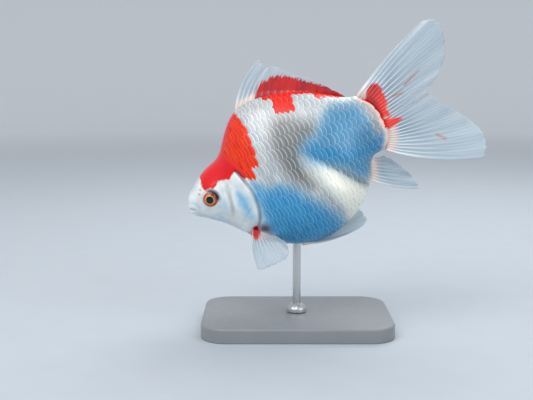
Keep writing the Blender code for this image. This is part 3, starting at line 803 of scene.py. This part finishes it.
def scale_tree(shape, guide, finish, seed):
    """Geometry nodes that lay one scale at each root, bend it over the sheet and give it its map and
    markings. The red and crimson are one for the whole scale, and the painted light and shade run on from
    scale to scale."""
    tree = bpy.data.node_groups.new("scale_coat", "GeometryNodeTree")
    tree.interface.new_socket("Roots", in_out="INPUT", socket_type="NodeSocketGeometry")
    tree.interface.new_socket("Scales", in_out="OUTPUT", socket_type="NodeSocketGeometry")

    def vectors(operation, first, second):
        inputs = {0: first, "Scale" if operation == "SCALE" else 1: second}
        return signal(tree, "ShaderNodeVectorMath", 0, inputs, operation=operation)

    def carried(name, kind="FLOAT_VECTOR"):
        return signal(tree, "GeometryNodeInputNamedAttribute", "Attribute", {"Name": name}, data_type=kind)

    def stored(geometry, name, value, kind="FLOAT_VECTOR", domain="POINT"):
        inputs = {"Geometry": geometry, "Name": name, "Value": value}
        return signal(tree, "GeometryNodeStoreNamedAttribute", 0, inputs, data_type=kind, domain=domain)

    def object_mesh(source):
        return signal(tree, "GeometryNodeObjectInfo", "Geometry", {"Object": source})

    def from_sheet(value, where):
        inputs = {"Mesh": object_mesh(guide), "Value": value, "UV Map": carried("map"), "Sample UV": where}
        return signal(tree, "GeometryNodeSampleUVSurface", "Value", inputs, data_type="FLOAT_VECTOR")

    lot = signal(tree, "FunctionNodeRandomValue", 1, {"Seed": seed}, data_type="FLOAT")
    roots = stored(signal(tree, "NodeGroupInput", "Roots", {}), "lot", lot, "FLOAT")
    laid = {"Points": roots, "Instance": object_mesh(shape)}
    laid = signal(tree, "GeometryNodeInstanceOnPoints", "Instances", laid)
    coat = signal(tree, "GeometryNodeRealizeInstances", "Geometry", {"Geometry": laid})

    along, across, rise = parted(carried("form"))
    reach, lift, roundness = parted(carried("size"))
    root = carried("root")
    run = carried("run")
    shares = carried("shares")
    along = along * (1.0 - roundness * parted(shares)[1].size().maths("POWER", 2.2))
    ahead = vectors("ADD", vectors("SCALE", run, along), joined(0.0, across * reach, 0.0))
    on_map = vectors("ADD", root, ahead)
    middle = vectors("ADD", root, vectors("SCALE", run, MARKED_AT))
    cover = parted(from_sheet(carried("cover"), on_map))[0]
    uneven = (carried("lot", "FLOAT") - 0.5) * SCALE_UNEVENNESS
    height = (rise * lift * (uneven + 1.0) - SCALE_SUNK) * cover - (1.0 - cover) * BURIED_DEPTH
    out = vectors("SCALE", from_sheet(carried("out"), on_map), height / MM_PER_M)
    place = vectors("ADD", from_sheet(signal(tree, "GeometryNodeInputPosition", 0, {}), on_map), out)
    patch = vectors("MULTIPLY", vectors("SUBTRACT", shares, (0.5, 0.0, 0.0)), (PATCH, PATCH / 2, 0.0))
    framed = vectors("ADD", vectors("SCALE", root, 0.98), (0.01, 0.01, 0.0))
    coat = stored(coat, "marks", from_sheet(carried("marks"), middle))
    coat = stored(coat, "tones", from_sheet(carried("tones"), on_map))
    coat = stored(coat, "OFBake", vectors("ADD", framed, patch), "FLOAT2", "CORNER")
    coat = signal(tree, "GeometryNodeSetPosition", 0, {"Geometry": coat, "Position": place})
    coat = signal(tree, "GeometryNodeSetMaterial", 0, {"Geometry": coat, "Material": finish})
    feed(tree.nodes.new("NodeGroupOutput"), {"Scales": coat})
    return tree


def grow(name, base, tree):
    """Runs a geometry-node tree on a base mesh and gives the result as a plain mesh object."""
    piece = bpy.data.objects.new(name, base)
    bpy.context.scene.collection.objects.link(piece)
    piece.modifiers.new(tree.name, "NODES").node_group = tree
    graph = bpy.context.evaluated_depsgraph_get()
    settings = {"preserve_all_data_layers": True, "depsgraph": graph}
    grown = bpy.data.meshes.new_from_object(piece.evaluated_get(graph), **settings)
    piece.modifiers.clear()
    piece.data = grown
    grown.name = name
    return piece


def scale_finish():
    """Pearly plates: painted shade at the root, under the scale in front, a painted highlight along the free
    edge, fine rays, and the fish's markings."""
    finish, place = new_finish("pearly_scales")
    colour, red = fish_colours(place, 0.002, 0.0)
    blue_reflection, highlight_and_flesh, grey = attributes(place.tree, "tones")
    along, across, _ = attributes(place.tree, "shares")
    lot = attribute(place.tree, "lot")
    beside = across.size()
    # Painted highlight along each scale's free edge and, fainter, its sides, dimmer in the grey painted
    # shade.
    side_highlight = slope(beside, 0.92, 1.0) * slope(along, 0.6, 0.9) * 0.4
    rim = (slope(along, 0.90, 0.985) * slope(beside, 1.25, 0.45)).most(side_highlight)
    pale = 1.0 - red

    uneven = (lot * 0.30 + 0.36) * (pale - highlight_and_flesh * 0.8).clamped() * (1.0 - blue_reflection.most(grey) * 0.40)
    greyer = mix(blue_reflection, mix(grey, (156, 166, 174), (128, 132, 132)), (84, 146, 182))
    colour = mix(uneven, colour, greyer)
    # Painted shade at each scale's root, under the edge of the scale in front: grey, deep blue in the blue
    # painted reflection, warm grey in the cream painted highlight, dark red on the red.
    root_shade_colour = mix(highlight_and_flesh, mix(blue_reflection, (146, 156, 166), (28, 82, 120)), (188, 184, 166))
    colour = mix(slope(along, 0.74, 0.50) * 0.68, colour, mix(red, root_shade_colour, (158, 12, 4)))
    # The painted highlight's colour: white, pale azure in the blue painted reflection, orange on the red.
    light = mix(red, mix(blue_reflection, (246, 250, 252), (136, 208, 238)), (252, 96, 30))
    streaks = clouds(joined(along * 1.5, across * 9.0, lot * 30.0), 1.0)
    inputs = {
        "Base Color": mix(rim * (0.80 - grey * 0.35), colour, light),
        "Normal": bumped(streaks, 0.00008, 0.6),
        "Roughness": streaks * 0.25 + 0.28,
        "Metallic": pale * 0.16,
        "Specular IOR Level": 0.3,
        "Coat Weight": 0.25,
        "Coat Roughness": 0.18,
    }
    return finished(finish, inputs)


guide = sheet_object()
shape = scale_shape()
scale_paint = scale_finish()
start, end, root_share, end_share, reach, lift, roundness = scale_roots()
none = np.zeros(len(start))
for side, word in ((1, "right"), (-1, "left")):
    if side < 0:
        root_share = 1.0 - root_share
        end_share = 1.0 - end_share
    base = bpy.data.meshes.new(f"scale_roots_{word}")
    base.from_pydata(in_the_world([sheet_place(a, b) for a, b in zip(start, root_share)]).tolist(), [], [])
    store(base, "root", np.stack([start / run_length, root_share, none], -1))
    store(base, "run", np.stack([(end - start) / run_length, end_share - root_share, none], -1))
    store(base, "size", np.stack([reach, lift, roundness], -1))
    scales = grow(f"scales_{word}", base, scale_tree(shape, guide, scale_paint, 7 + side))
    scales.data.shade_smooth()
    scales.data.set_sharp_from_angle(angle=math.radians(38))
    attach(scales, "root")
for helper in (guide, shape):
    mesh = helper.data
    bpy.data.objects.remove(helper)
    bpy.data.meshes.remove(mesh)


# ---------------------------------------------------------------- the eyes
# A goldfish's eye is a firm ball: a black pupil, a thin gold ring round it and an orange iris with fine
# fibres, under a clear domed cornea. The iris is browner above and behind, in the lid's shade.

GAZE = (-0.16, 1.0, -0.05)
EYE_RINGS = 56
EYE_ROUND = 72
PUPIL_RADIUS = 2.0
IRIS_RADIUS = 3.65


def closed_piece(name, points, faces):
    """Makes a closed object from points in the model's frame, with its faces turned outward."""
    piece = add_piece(name, points, faces)
    work = bmesh.new()
    work.from_mesh(piece.data)
    bmesh.ops.recalc_face_normals(work, faces=work.faces)
    work.to_mesh(piece.data)
    work.free()
    return piece


def ringed_piece(name, rings):
    """A closed object through rings of equal length in the model's frame, with flat ends."""
    rings = np.asarray(rings)
    count, round_points = rings.shape[:2]
    faces = tube_faces(count, round_points)
    faces.append(list(range(round_points)))
    faces.append(list(range((count - 1) * round_points, count * round_points)))
    return closed_piece(name, rings.reshape(-1, 3), faces)


def eye_ball(word, side):
    """One eye, domed over its pupil. Each point carries its place on the iris: forward, up and off the
    pupil (mm)."""
    low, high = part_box(f"eye_{word}")
    radius = MM_PER_M * (high.z - low.z) / 2
    middle = np.array((EYE_PLACE[0], MM_PER_M * (low.y + high.y) / 2, EYE_PLACE[1]))
    gaze = unit(np.array(GAZE) * (1, side, 1))
    ahead = unit(gaze * gaze[0] - (1.0, 0.0, 0.0))
    above = np.cross(gaze, ahead)
    above = above * np.sign(above[2])
    tilt = np.linspace(0.03, math.pi - 0.03, EYE_RINGS)[:, None, None]
    turn = np.linspace(0.0, math.tau, EYE_ROUND, endpoint=False)[None, :, None]
    rounds = np.cos(tilt) * gaze + np.sin(tilt) * (np.cos(turn) * ahead + np.sin(turn) * above)
    off = radius * (1 + 0.030 * hump(tilt, 0.55)) * rounds
    ball = ringed_piece(f"eye_ball_{word}", in_the_world(middle + off))
    off = off.reshape(-1, 3)
    off_pupil = np.where(off @ gaze > 0, np.linalg.norm(off - (off @ gaze)[:, None] * gaze, axis=1), radius)
    store(ball.data, "sight", np.stack([off @ ahead, off @ above, off_pupil], -1))
    return ball


def eye_finish():
    """A painted iris and pupil under a glossy cornea."""
    finish, place = new_finish("eye")
    forward, up, off = attributes(place.tree, "sight")
    far = off.most(0.2)
    fibres = clouds(joined(forward / far * 7.0, up / far * 7.0, off * 0.5), 1.0, 3.0, 0.6)
    ragged = fibres * 0.5 + off
    iris = mix(slope(ragged, 2.6, 3.7), (236, 130, 36), (204, 70, 20))
    iris = mix(slope(fibres, 0.42, 0.66) * 0.4, iris, (170, 52, 14))
    lid_shade = slope(up * 0.55 - forward * 0.85, 1.0, 3.4)
    iris = mix(lid_shade * 0.85, iris, (78, 38, 26))
    iris = mix(slope(off, IRIS_RADIUS, IRIS_RADIUS + 0.16), iris, (104, 58, 50))
    lid = mix(lid_shade, (208, 210, 214), (70, 54, 58))
    iris = mix(slope(off, IRIS_RADIUS + 0.18, IRIS_RADIUS + 0.36), iris, lid)
    ring = mix(fibres, (214, 204, 160), (170, 150, 104))
    colour = mix(slope(ragged, PUPIL_RADIUS + 0.5, PUPIL_RADIUS + 0.7), ring, iris)
    inputs = {
        "Base Color": mix(slope(off, PUPIL_RADIUS, PUPIL_RADIUS + 0.12), (9, 11, 13), colour),
        "Roughness": 0.12,
        "Coat Weight": 0.6,
        "Specular IOR Level": 0.2,
        "Coat Roughness": 0.03,
    }
    return finished(finish, inputs)


eye_paint = eye_finish()
for side, word in ((1, "right"), (-1, "left")):
    ball = eye_ball(word, side)
    ball.data.materials.append(eye_paint)
    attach(ball, "root")
    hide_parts(f"eye_{word}")


# ---------------------------------------------------------------- the fins
# A fin is a thin clear web stretched over bony rays. Each ray grows from a fleshy root, splits in two and
# again towards the edge and is jointed all along. The web is firmest behind the leading rays and glassy
# between the rest.

RAY_STEPS = 14
RAY_HALF = 0.18
WEB_HALF = 0.21
FIN_ROWS = 44
PECTORAL_DEPTH = 15.7
TAIL_ROOT_X = 106.0
TAIL_ROOT_OUT = 2.1
TAIL_FAR_SHARE = 0.86

# The fins' root and tip lines, with one line of tips for each side (-1 left, 1 right) where the pair
# differs.
DORSAL_ROOTS = ((42, 34.5), (52, 36), (63.6, 35), (74.3, 32), (84.5, 28), (96, 21.5))
DORSAL_TIPS = ((64.8, 56.2), (67.2, 50.8), (71.2, 50), (77.9, 43), (84.8, 37.8), (92.6, 30), (101, 20.3))
TAIL_UPPER_ROOTS = ((106.6, 17.8), (111, 13), (114, 7.5), (115, 0.8))
TAIL_UPPER_TIPS = ((153, 42.5), (160, 40), (160.8, 30), (157, 19.5), (150, 12.5), (142.2, 6.4))
TAIL_LOWER_ROOTS = ((115, 0.2), (115, -5.5), (113.5, -10.5), (110.5, -14.5))
TAIL_LOWER_TIPS = ((142.2, 5.6), (147, -0.5), (153, -8.5), (159.2, -17.4), (162.6, -28), (158.5, -38))
ANAL_ROOTS = ((96, -26.2), (98.5, -21.5), (100.5, -16.5))
ANAL_TIPS = {
    -1: ((120, -40.8), (119, -34.5), (116, -27.5), (110.8, -19)),
    1: ((116.5, -36.2), (115.8, -30.5), (113.2, -24.5), (109.2, -18.2)),
}
PECTORAL_ROOTS = ((28, -25), (31.5, -27.5), (35, -30.3))
PECTORAL_TIPS = {
    -1: ((23.4, -45.6), (26.2, -47), (32.5, -46.8), (39, -46.3), (42, -43.2), (42.3, -38)),
    1: ((44, -47), (48.2, -46.2), (52, -43.2), (54, -38.5), (52, -33.5)),
}
PELVIC_ROOTS = ((49, -44.8), (52.5, -45.2), (56, -45.2))
PELVIC_TIPS = ((69, -48.4), (79.5, -48.4), (86.8, -45.8), (86.2, -41.6))

# The fins' red patches, and the amber flecks on the tail as lines with a width.
FIN_REDS = (
    (
        (53.8, 37.5), (57.1, 41.2), (60.5, 43.8), (64.4, 44.8), (68.4, 45.2), (72.2, 44), (76.1, 42.1),
        (81.5, 38.2), (86.8, 34), (92.7, 29.7), (96.9, 25.6), (100.7, 20.6), (96, 18), (80, 24), (62, 31),
        (53, 34),
    ),
    (
        (109.4, 14.9), (111.7, 18.6), (115, 21.3), (118.4, 21.1), (120.4, 17.4), (120.4, 12.8),
        (120.9, 9.7), (119, 6.6), (119.6, 3.3), (117.2, 2), (113, 3), (110, 7.6), (106.6, 14),
    ),
    ((112.6, 1.2), (117.6, 1.4), (120.7, 0.2), (124.6, -1.6), (121.7, -3.3), (117.4, -4.4), (113, -4)),
    ((28.6, -24.5), (31.9, -26.2), (29.4, -31.9), (26.7, -29.9)),
)
AMBER_FLECKS = (
    (((132.1, 14.4), (141.9, 19)), 0.6),
    (((124, 11.1), (129.6, 10.8)), 0.6),
    (((139.1, -17.2), (142.3, -20.8)), 0.7),
)


def ray_ridges(turn, out, rays):
    """How near each place is to a ray: 1 on a ray's own line and 0 on the web. turn counts the rays."""
    nearest = np.clip(np.round(turn), 0, rays - 1)
    off = np.abs(turn - nearest)
    uneven = 0.06 * np.sin(7.3 * nearest)
    first = 0.25 * ramp(out, 0.30 + uneven, 0.80 + uneven)
    second = 0.125 * ramp(out, 0.62 + uneven, 1.0)
    branches = (first + second, first - second, -first + second, -first - second)
    best = np.min([np.abs(off - branch) for branch in branches], axis=0)
    return hump(best, RAY_HALF * (1 - 0.50 * out)), off


def fin_plate(name, roots, tips, rays, bow, level, ray_half, nick, firmness, root_half):
    """A fin as a closed plate. roots and tips are (x, z) curves, bow bends each ray forwards by a share of
    its length, level(across, out, x) gives the sheet's y, and firmness is the web's from the first ray to
    the last."""
    columns = int((rays - 1 + 2 * RAY_HALF) * RAY_STEPS) + 1
    across = np.linspace(0.0, 1.0, columns)[None, :]
    turn = across * (rays - 1 + 2 * RAY_HALF) - RAY_HALF
    share = np.linspace(0.0, 1.0, FIN_ROWS)[:, None]
    tip_ridge, off = ray_ridges(turn, np.ones_like(turn), rays)
    out = share * (1 - nick * ((2 * off) ** 1.5 + 0.4 * (1 - tip_ridge)))
    root = smooth_line(roots)(across * (len(roots) - 1))
    run = smooth_line(tips)(across * (len(tips) - 1)) - root
    bend = (bow[0] + (bow[1] - bow[0]) * across) * 4 * out * (1 - out)
    x = root[..., 0] + run[..., 0] * out - run[..., 1] * bend
    z = root[..., 1] + run[..., 1] * out + run[..., 0] * bend
    fold = 0.28 * out**2 * np.sin(turn * 2.3 + 1.7 * out)
    sheet = np.stack([x, level(across, out, x) + fold, z], -1)
    ridge, _ = ray_ridges(turn, out, rays)
    leading = hump(turn - (0 if firmness[0] > firmness[-1] else rays - 1), 0.42) * np.ones_like(out)
    ridge = np.maximum(ridge, leading)
    rays_half = ray_half * (1 + 0.5 * leading) * (1 - (0.80 - 0.25 * leading) * out)
    web_half = WEB_HALF * (1 - 0.5 * out)
    half = web_half + (rays_half - web_half) * ridge
    half = half * (1 - 0.6 * ramp(share, 0.985, 1.0))
    half = half + root_half * ramp(out, 0.0, 0.05) * ramp(out, 0.26, 0.04)
    lift = unit(np.cross(np.gradient(sheet, axis=0), np.gradient(sheet, axis=1))) * half[..., None]
    points = np.stack([sheet + lift, sheet - lift]).reshape(-1, 3)
    plate = closed_piece(name, in_the_world(points), plate_faces(FIN_ROWS, columns))

    along = out * np.linalg.norm(run, axis=-1)
    firm = np.interp(across, np.linspace(0.0, 1.0, len(firmness)), firmness)
    red = np.max([inside(outline, x, z) for outline in FIN_REDS], axis=0)
    amber = np.max([hump(near_line(line, x, z)[0], width) for line, width in AMBER_FLECKS], axis=0)
    flesh = ramp(along, 7.5, 2.5)
    carried = {"ray": (ridge, along, firm), "lie": (turn, out, 0 * out), "fin_marks": (red, amber, flesh)}
    for key, values in carried.items():
        store(plate.data, key, np.tile(np.stack(np.broadcast_arrays(*values), -1).reshape(-1, 3), (2, 1)))
    on_map = np.stack(np.broadcast_arrays(0.01 + 0.48 * across, 0.01 + 0.98 * share), -1).reshape(-1, 2)
    count = len(on_map)
    corners = np.empty(len(plate.data.loops), np.int32)
    plate.data.loops.foreach_get("vertex_index", corners)
    at_rim = np.arange(len(corners)) >= 8 * (FIN_ROWS - 1) * (columns - 1)
    on_map = np.concatenate([on_map, on_map + (0.5, 0.0)])
    store(plate.data, "OFBake", on_map[np.where(at_rim, corners % count, corners)], "CORNER")
    return plate


def fin_finish():
    """Wet fins: clear web, white jointed rays, a pale fleshy root, and red that runs out along the rays."""
    finish, place = new_finish("wet_fins")
    ridge, along, firm = attributes(place.tree, "ray")
    turn, out, _ = attributes(place.tree, "lie")
    red_edge, amber, flesh = attributes(place.tree, "fin_marks")
    streaks = clouds(joined(turn * 3.0, out * 2.5, 0.0), 1.0, 4.0, 0.6)
    red = slope(red_edge + (streaks - 0.5) * 6.0, -0.4, 0.8)
    joint = slope(((along / 0.85).maths("FRACT") - 0.5).size(), 0.38, 0.5) * ridge * slope(out, 1.0, 0.3)
    fade = slope(out, 0.06, 0.58)
    web = mix(streaks, (118, 146, 168), (160, 180, 196))
    pale_web = mix(streaks, (160, 180, 196), (200, 212, 220))
    web = mix(fade.most(slope(firm, 0.66, 0.95)), web, pale_web)
    ray_share = slope(ridge, 0.10, 0.85) * (1.0 - fade * 0.82)
    colour = mix(ray_share, web, (240, 244, 245))
    colour = mix(joint * 0.22, colour, (126, 146, 162))
    colour = mix(flesh * 0.75, colour, (240, 212, 200))
    mottled = clouds(place, 0.004)
    on_back = mix(mottled, (222, 40, 32), (198, 24, 28))
    on_back = mix(slope(clouds(place, 0.011, 2.0), 0.35, 0.65) * 0.75, on_back, (158, 24, 36))
    on_tail = mix(mottled, (252, 70, 44), (238, 30, 32))
    scarlet = mix(slope(parted(place)[0], 0.038, 0.048), on_back, on_tail)
    scarlet = mix(slope(ridge, 0.35, 0.9) * 0.30, scarlet, (146, 22, 20))
    colour = mix(red, colour, scarlet)
    solid = red.most(flesh).most(ray_share)
    inputs = {
        "Base Color": mix(amber * slope(streaks, 0.30, 0.62), colour, (196, 110, 66)),
        "Alpha": (1.0 - (1.0 - solid) * (1.0 - firm)).clamped(),
        "Normal": bumped(streaks - joint * 0.5, 0.00008, 0.6),
        "Roughness": 0.34,
        "Coat Weight": 0.35,
        "Coat Roughness": 0.15,
    }
    return finished(finish, inputs)


def tail_level(side):
    """How far out a half of the double tail lies: it turns out from its root, and its lobes are softly
    cupped."""
    spread = math.tan(math.radians(6.0 if side < 0 else 33.0))

    def level(across, out, x):
        cup = 3.5 * out**2 * np.sin(math.pi * (0.25 + 0.6 * across))
        ripple = 0.6 * out * np.sin(9.0 * across)
        return side * (TAIL_ROOT_OUT + (x - TAIL_ROOT_X) * spread + ripple) + cup

    return level


def tail_tips(tips, side):
    """The far half turns well out, and so is shorter and lower from the side."""
    if side < 0:
        return tips
    return [(TAIL_ROOT_X + (x - TAIL_ROOT_X) * TAIL_FAR_SHARE, z * TAIL_FAR_SHARE) for x, z in tips]


def pectoral_level(side):
    flare = 8.5 if side < 0 else 12.5
    return lambda across, out, x: side * (PECTORAL_DEPTH + flare * out - 2.5 * across)


fins = [
    (
        "dorsal_fin", DORSAL_ROOTS, DORSAL_TIPS, 17, (0.10, 0.0),
        lambda across, out, x: out * np.sin(5.0 * across + 0.6), 0.50, 0.030, (0.92, 0.80, 0.66, 0.6), 0.6,
    )
]
for side, word in ((-1, "left"), (1, "right")):
    fins += [
        (
            f"tail_fin_upper_{word}", TAIL_UPPER_ROOTS, tail_tips(TAIL_UPPER_TIPS, side), 13, (0.03, 0.0),
            tail_level(side), 0.44, 0.012, (0.90, 0.86, 0.76, 0.62, 0.50, 0.50), 1.2,
        ),
        (
            f"tail_fin_lower_{word}", TAIL_LOWER_ROOTS, tail_tips(TAIL_LOWER_TIPS, side), 14, (0.0, -0.06),
            tail_level(side), 0.44, 0.012, (0.52, 0.58, 0.72, 0.84, 0.90, 0.92), 1.2,
        ),
        (
            f"anal_fin_{word}", ANAL_ROOTS, ANAL_TIPS[side], 8, (-0.06, 0.0),
            lambda across, out, x, side=side: side * (1.2 + 5.0 * out**2), 0.45, 0.020,
            (0.94, 0.86, 0.62, 0.36), 0.8,
        ),
        (
            f"pectoral_fin_{word}", PECTORAL_ROOTS, PECTORAL_TIPS[side], 11, (-0.05, 0.0),
            pectoral_level(side), 0.52, 0.022, (0.84, 0.62, 0.52, 0.52), 0.6,
        ),
        (
            f"pelvic_fin_{word}", PELVIC_ROOTS, PELVIC_TIPS, 9, (-0.04, 0.0),
            lambda across, out, x, side=side: side * (6.8 + 4.0 * out - 2.0 * across), 0.45, 0.022,
            (0.86, 0.74, 0.66, 0.6), 0.6,
        ),
    ]
fin_paint = fin_finish()
for node, *build in fins:
    plate = fin_plate(f"{node}_web", *build)
    plate.data.materials.append(fin_paint)
    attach(plate, "root")
    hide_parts(node)


# ---------------------------------------------------------------- the stand
# A plain display stand: a satin grey base of lacquered wood with eased edges, a turned steel collar let
# into it and a polished steel rod that meets the belly under the model's weight.

BASE_CORNER = 0.014
BASE_EASE = 0.0014
CORNER_STEPS = 12
TURNED_ROUND = 64


def base_ring(low, high, draw_in, level):
    """A ring round the base's rounded rectangle, drawn in from its edge, at a level."""
    corner_x = np.array((high.x, low.x, low.x, high.x)) + BASE_CORNER * np.array((-1, 1, 1, -1))
    corner_y = np.array((high.y, high.y, low.y, low.y)) + BASE_CORNER * np.array((-1, -1, 1, 1))
    turn = np.linspace(0.0, math.pi / 2, CORNER_STEPS + 1) + np.arange(4)[:, None] * math.pi / 2
    x = corner_x[:, None] + (BASE_CORNER - draw_in) * np.cos(turn)
    y = corner_y[:, None] + (BASE_CORNER - draw_in) * np.sin(turn)
    return np.stack([x, y, level + 0 * x], -1).reshape(-1, 3)


def turned_rings(middle_x, middle_y, profile, round_points):
    """Rings round an upright axis, from (radius, level) pairs."""
    around = np.linspace(0.0, math.tau, round_points, endpoint=False)[None, :]
    radius, level = np.transpose(profile)[..., None]
    x = middle_x + radius * np.cos(around)
    y = middle_y + radius * np.sin(around)
    return np.stack([x, y, level + 0 * around], -1)


def lacquer_finish():
    finish, place = new_finish("satin_lacquer")
    inputs = {
        "Base Color": mix(clouds(place, 0.012, 4.0), (128, 132, 137), (138, 142, 147)),
        "Roughness": clouds(place, 0.004, 5.0) * 0.16 + 0.34,
        "Normal": bumped(clouds(place, 0.0009, 2.0), 0.00003, 0.6),
    }
    return finished(finish, inputs)


def steel_finish():
    finish, place = new_finish("turned_steel")
    x, y, z = parted(place)
    lines = clouds(joined(x * 60.0, y * 60.0, z * 5200.0), 1.0, 4.0, 0.6)
    inputs = {
        "Base Color": mix(lines, (196, 197, 198), (212, 213, 214)),
        "Roughness": lines * 0.18 + 0.20,
        "Normal": bumped(lines, 0.00002, 0.5),
        "Metallic": 1.0,
    }
    return finished(finish, inputs)


low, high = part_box("stand_base")
eased = [(0.0004, low.z), (0.0, low.z + 0.0004), (0.0, high.z - BASE_EASE)]
for a in np.linspace(0.0, math.pi / 2, 9)[1:]:
    eased.append((BASE_EASE * (1 - math.cos(a)), high.z - BASE_EASE * (1 - math.sin(a))))
base = ringed_piece("display_base", [base_ring(low, high, draw_in, level) for draw_in, level in eased])

low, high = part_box("stand_rod")
rod_x = (low.x + high.x) / 2
rod_y = (low.y + high.y) / 2
rod_radius = (high.y - low.y) / 2
rod_profile = ((rod_radius, low.z), (rod_radius, high.z + 0.0008))
rod = ringed_piece("display_rod", turned_rings(rod_x, rod_y, rod_profile, TURNED_ROUND))
low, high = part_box("stand_collar")
wide = (high.y - low.y) / 2
tall = high.z - low.z
collar_profile = (
    (rod_radius + 0.0002, low.z), (wide - 0.0003, low.z), (wide, low.z + 0.0003),
    (wide, low.z + 0.50 * tall), (wide - 0.0002, low.z + 0.58 * tall),
    (rod_radius + 0.0016, high.z - 0.0004), (rod_radius + 0.0012, high.z), (rod_radius + 0.0002, high.z),
)
collar = ringed_piece("display_collar", turned_rings(rod_x, rod_y, collar_profile, TURNED_ROUND))
lacquer = lacquer_finish()
steel = steel_finish()
for piece, node, finish, slot in (
    (base, "stand_base", lacquer, "stand_lacquer"),
    (rod, "stand_rod", steel, "stand_steel"),
    (collar, "stand_collar", steel, "stand_steel"),
):
    piece.data.set_sharp_from_angle(angle=math.radians(32))
    piece.data.materials.append(finish)
    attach(piece, "root")
    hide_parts(node)


# ---------------------------------------------------------------- the studio
# A pale paper floor that sweeps up all round, soft boxes above and beside the model, and a camera level
# with its snout.

CAMERA_DISTANCE = 0.5
CAMERA_HEIGHT_ANGLE = math.radians(8.0)
CAMERA_LENS = 61.4
AIM_BEHIND_SNOUT = 0.0432
FLOOR_ROUND = 96


def facing(place, target):
    return (Vector(target) - Vector(place)).to_track_quat("-Z", "Y").to_euler()


def soft_box(name, place, size, power, colour):
    """A square soft box that faces the model."""
    light = bpy.data.lights.new(name, "AREA")
    light.shape = "RECTANGLE"
    light.size = light.size_y = size
    light.energy = power
    light.color = colour
    lamp = bpy.data.objects.new(name, light)
    bpy.context.scene.collection.objects.link(lamp)
    lamp.location = place
    lamp.rotation_euler = facing(place, middle)


def floor_sweep():
    """A round paper floor that curves up into a low wall all round."""
    curve = [(1.9 + 0.5 * math.sin(a), 0.5 - 0.5 * math.cos(a)) for a in np.linspace(0.0, math.pi / 2, 12)]
    profile = [(0.4, 0.0), (1.0, 0.0), *curve, (2.4, 0.65)]
    faces = tube_faces(len(profile), FLOOR_ROUND)
    faces.append(list(range(FLOOR_ROUND)))
    floor = add_piece("floor", turned_rings(0.0, 0.0, profile, FLOOR_ROUND).reshape(-1, 3), faces)
    finish, place = new_finish("floor_paper")
    paper = mix(clouds(place, 0.02, 4.0), (176, 184, 192), (182, 190, 198))
    x, y, _ = parted(place)
    # Painted light: the paper is paler towards the far wall, making up for the lamps' light that falls off
    # there.
    far = slope(x * x + y * y, 0.3, 3.5)
    inputs = {"Base Color": mix(far, paper, (228, 232, 236)), "Roughness": 0.75}
    floor.data.materials.append(finished(finish, inputs))
    return floor


floor_sweep()
middle = Vector((SNOUT_X + AIM_BEHIND_SNOUT, 0.0, SNOUT_Z))
soft_box("key_light", (-0.45, -0.55, 0.95), 0.9, 8.4, (1.0, 0.99, 0.97))
soft_box("fill_light", (0.95, -0.75, 0.75), 0.8, 4.6, (0.94, 0.97, 1.0))
soft_box("back_light", (0.25, 0.45, 0.75), 0.5, 3.2, (1.0, 1.0, 1.0))
world = bpy.data.worlds.new("studio")
world.use_nodes = True
world.node_tree.nodes["Background"].inputs["Color"].default_value = (0.93, 0.96, 1.0, 1.0)
world.node_tree.nodes["Background"].inputs["Strength"].default_value = 0.60
bpy.context.scene.world = world
bpy.context.scene.view_settings.view_transform = "Standard"

lens = bpy.data.cameras.new("camera")
lens.lens = CAMERA_LENS
lens.sensor_width = 36.0
lens.clip_start = 0.01
camera = bpy.data.objects.new("camera", lens)
bpy.context.scene.collection.objects.link(camera)
back = Vector((0.0, -math.cos(CAMERA_HEIGHT_ANGLE), math.sin(CAMERA_HEIGHT_ANGLE)))
camera.location = middle + back * CAMERA_DISTANCE
camera.rotation_euler = facing(camera.location, middle)
bpy.context.scene.camera = camera

bpy.context.view_layer.update()
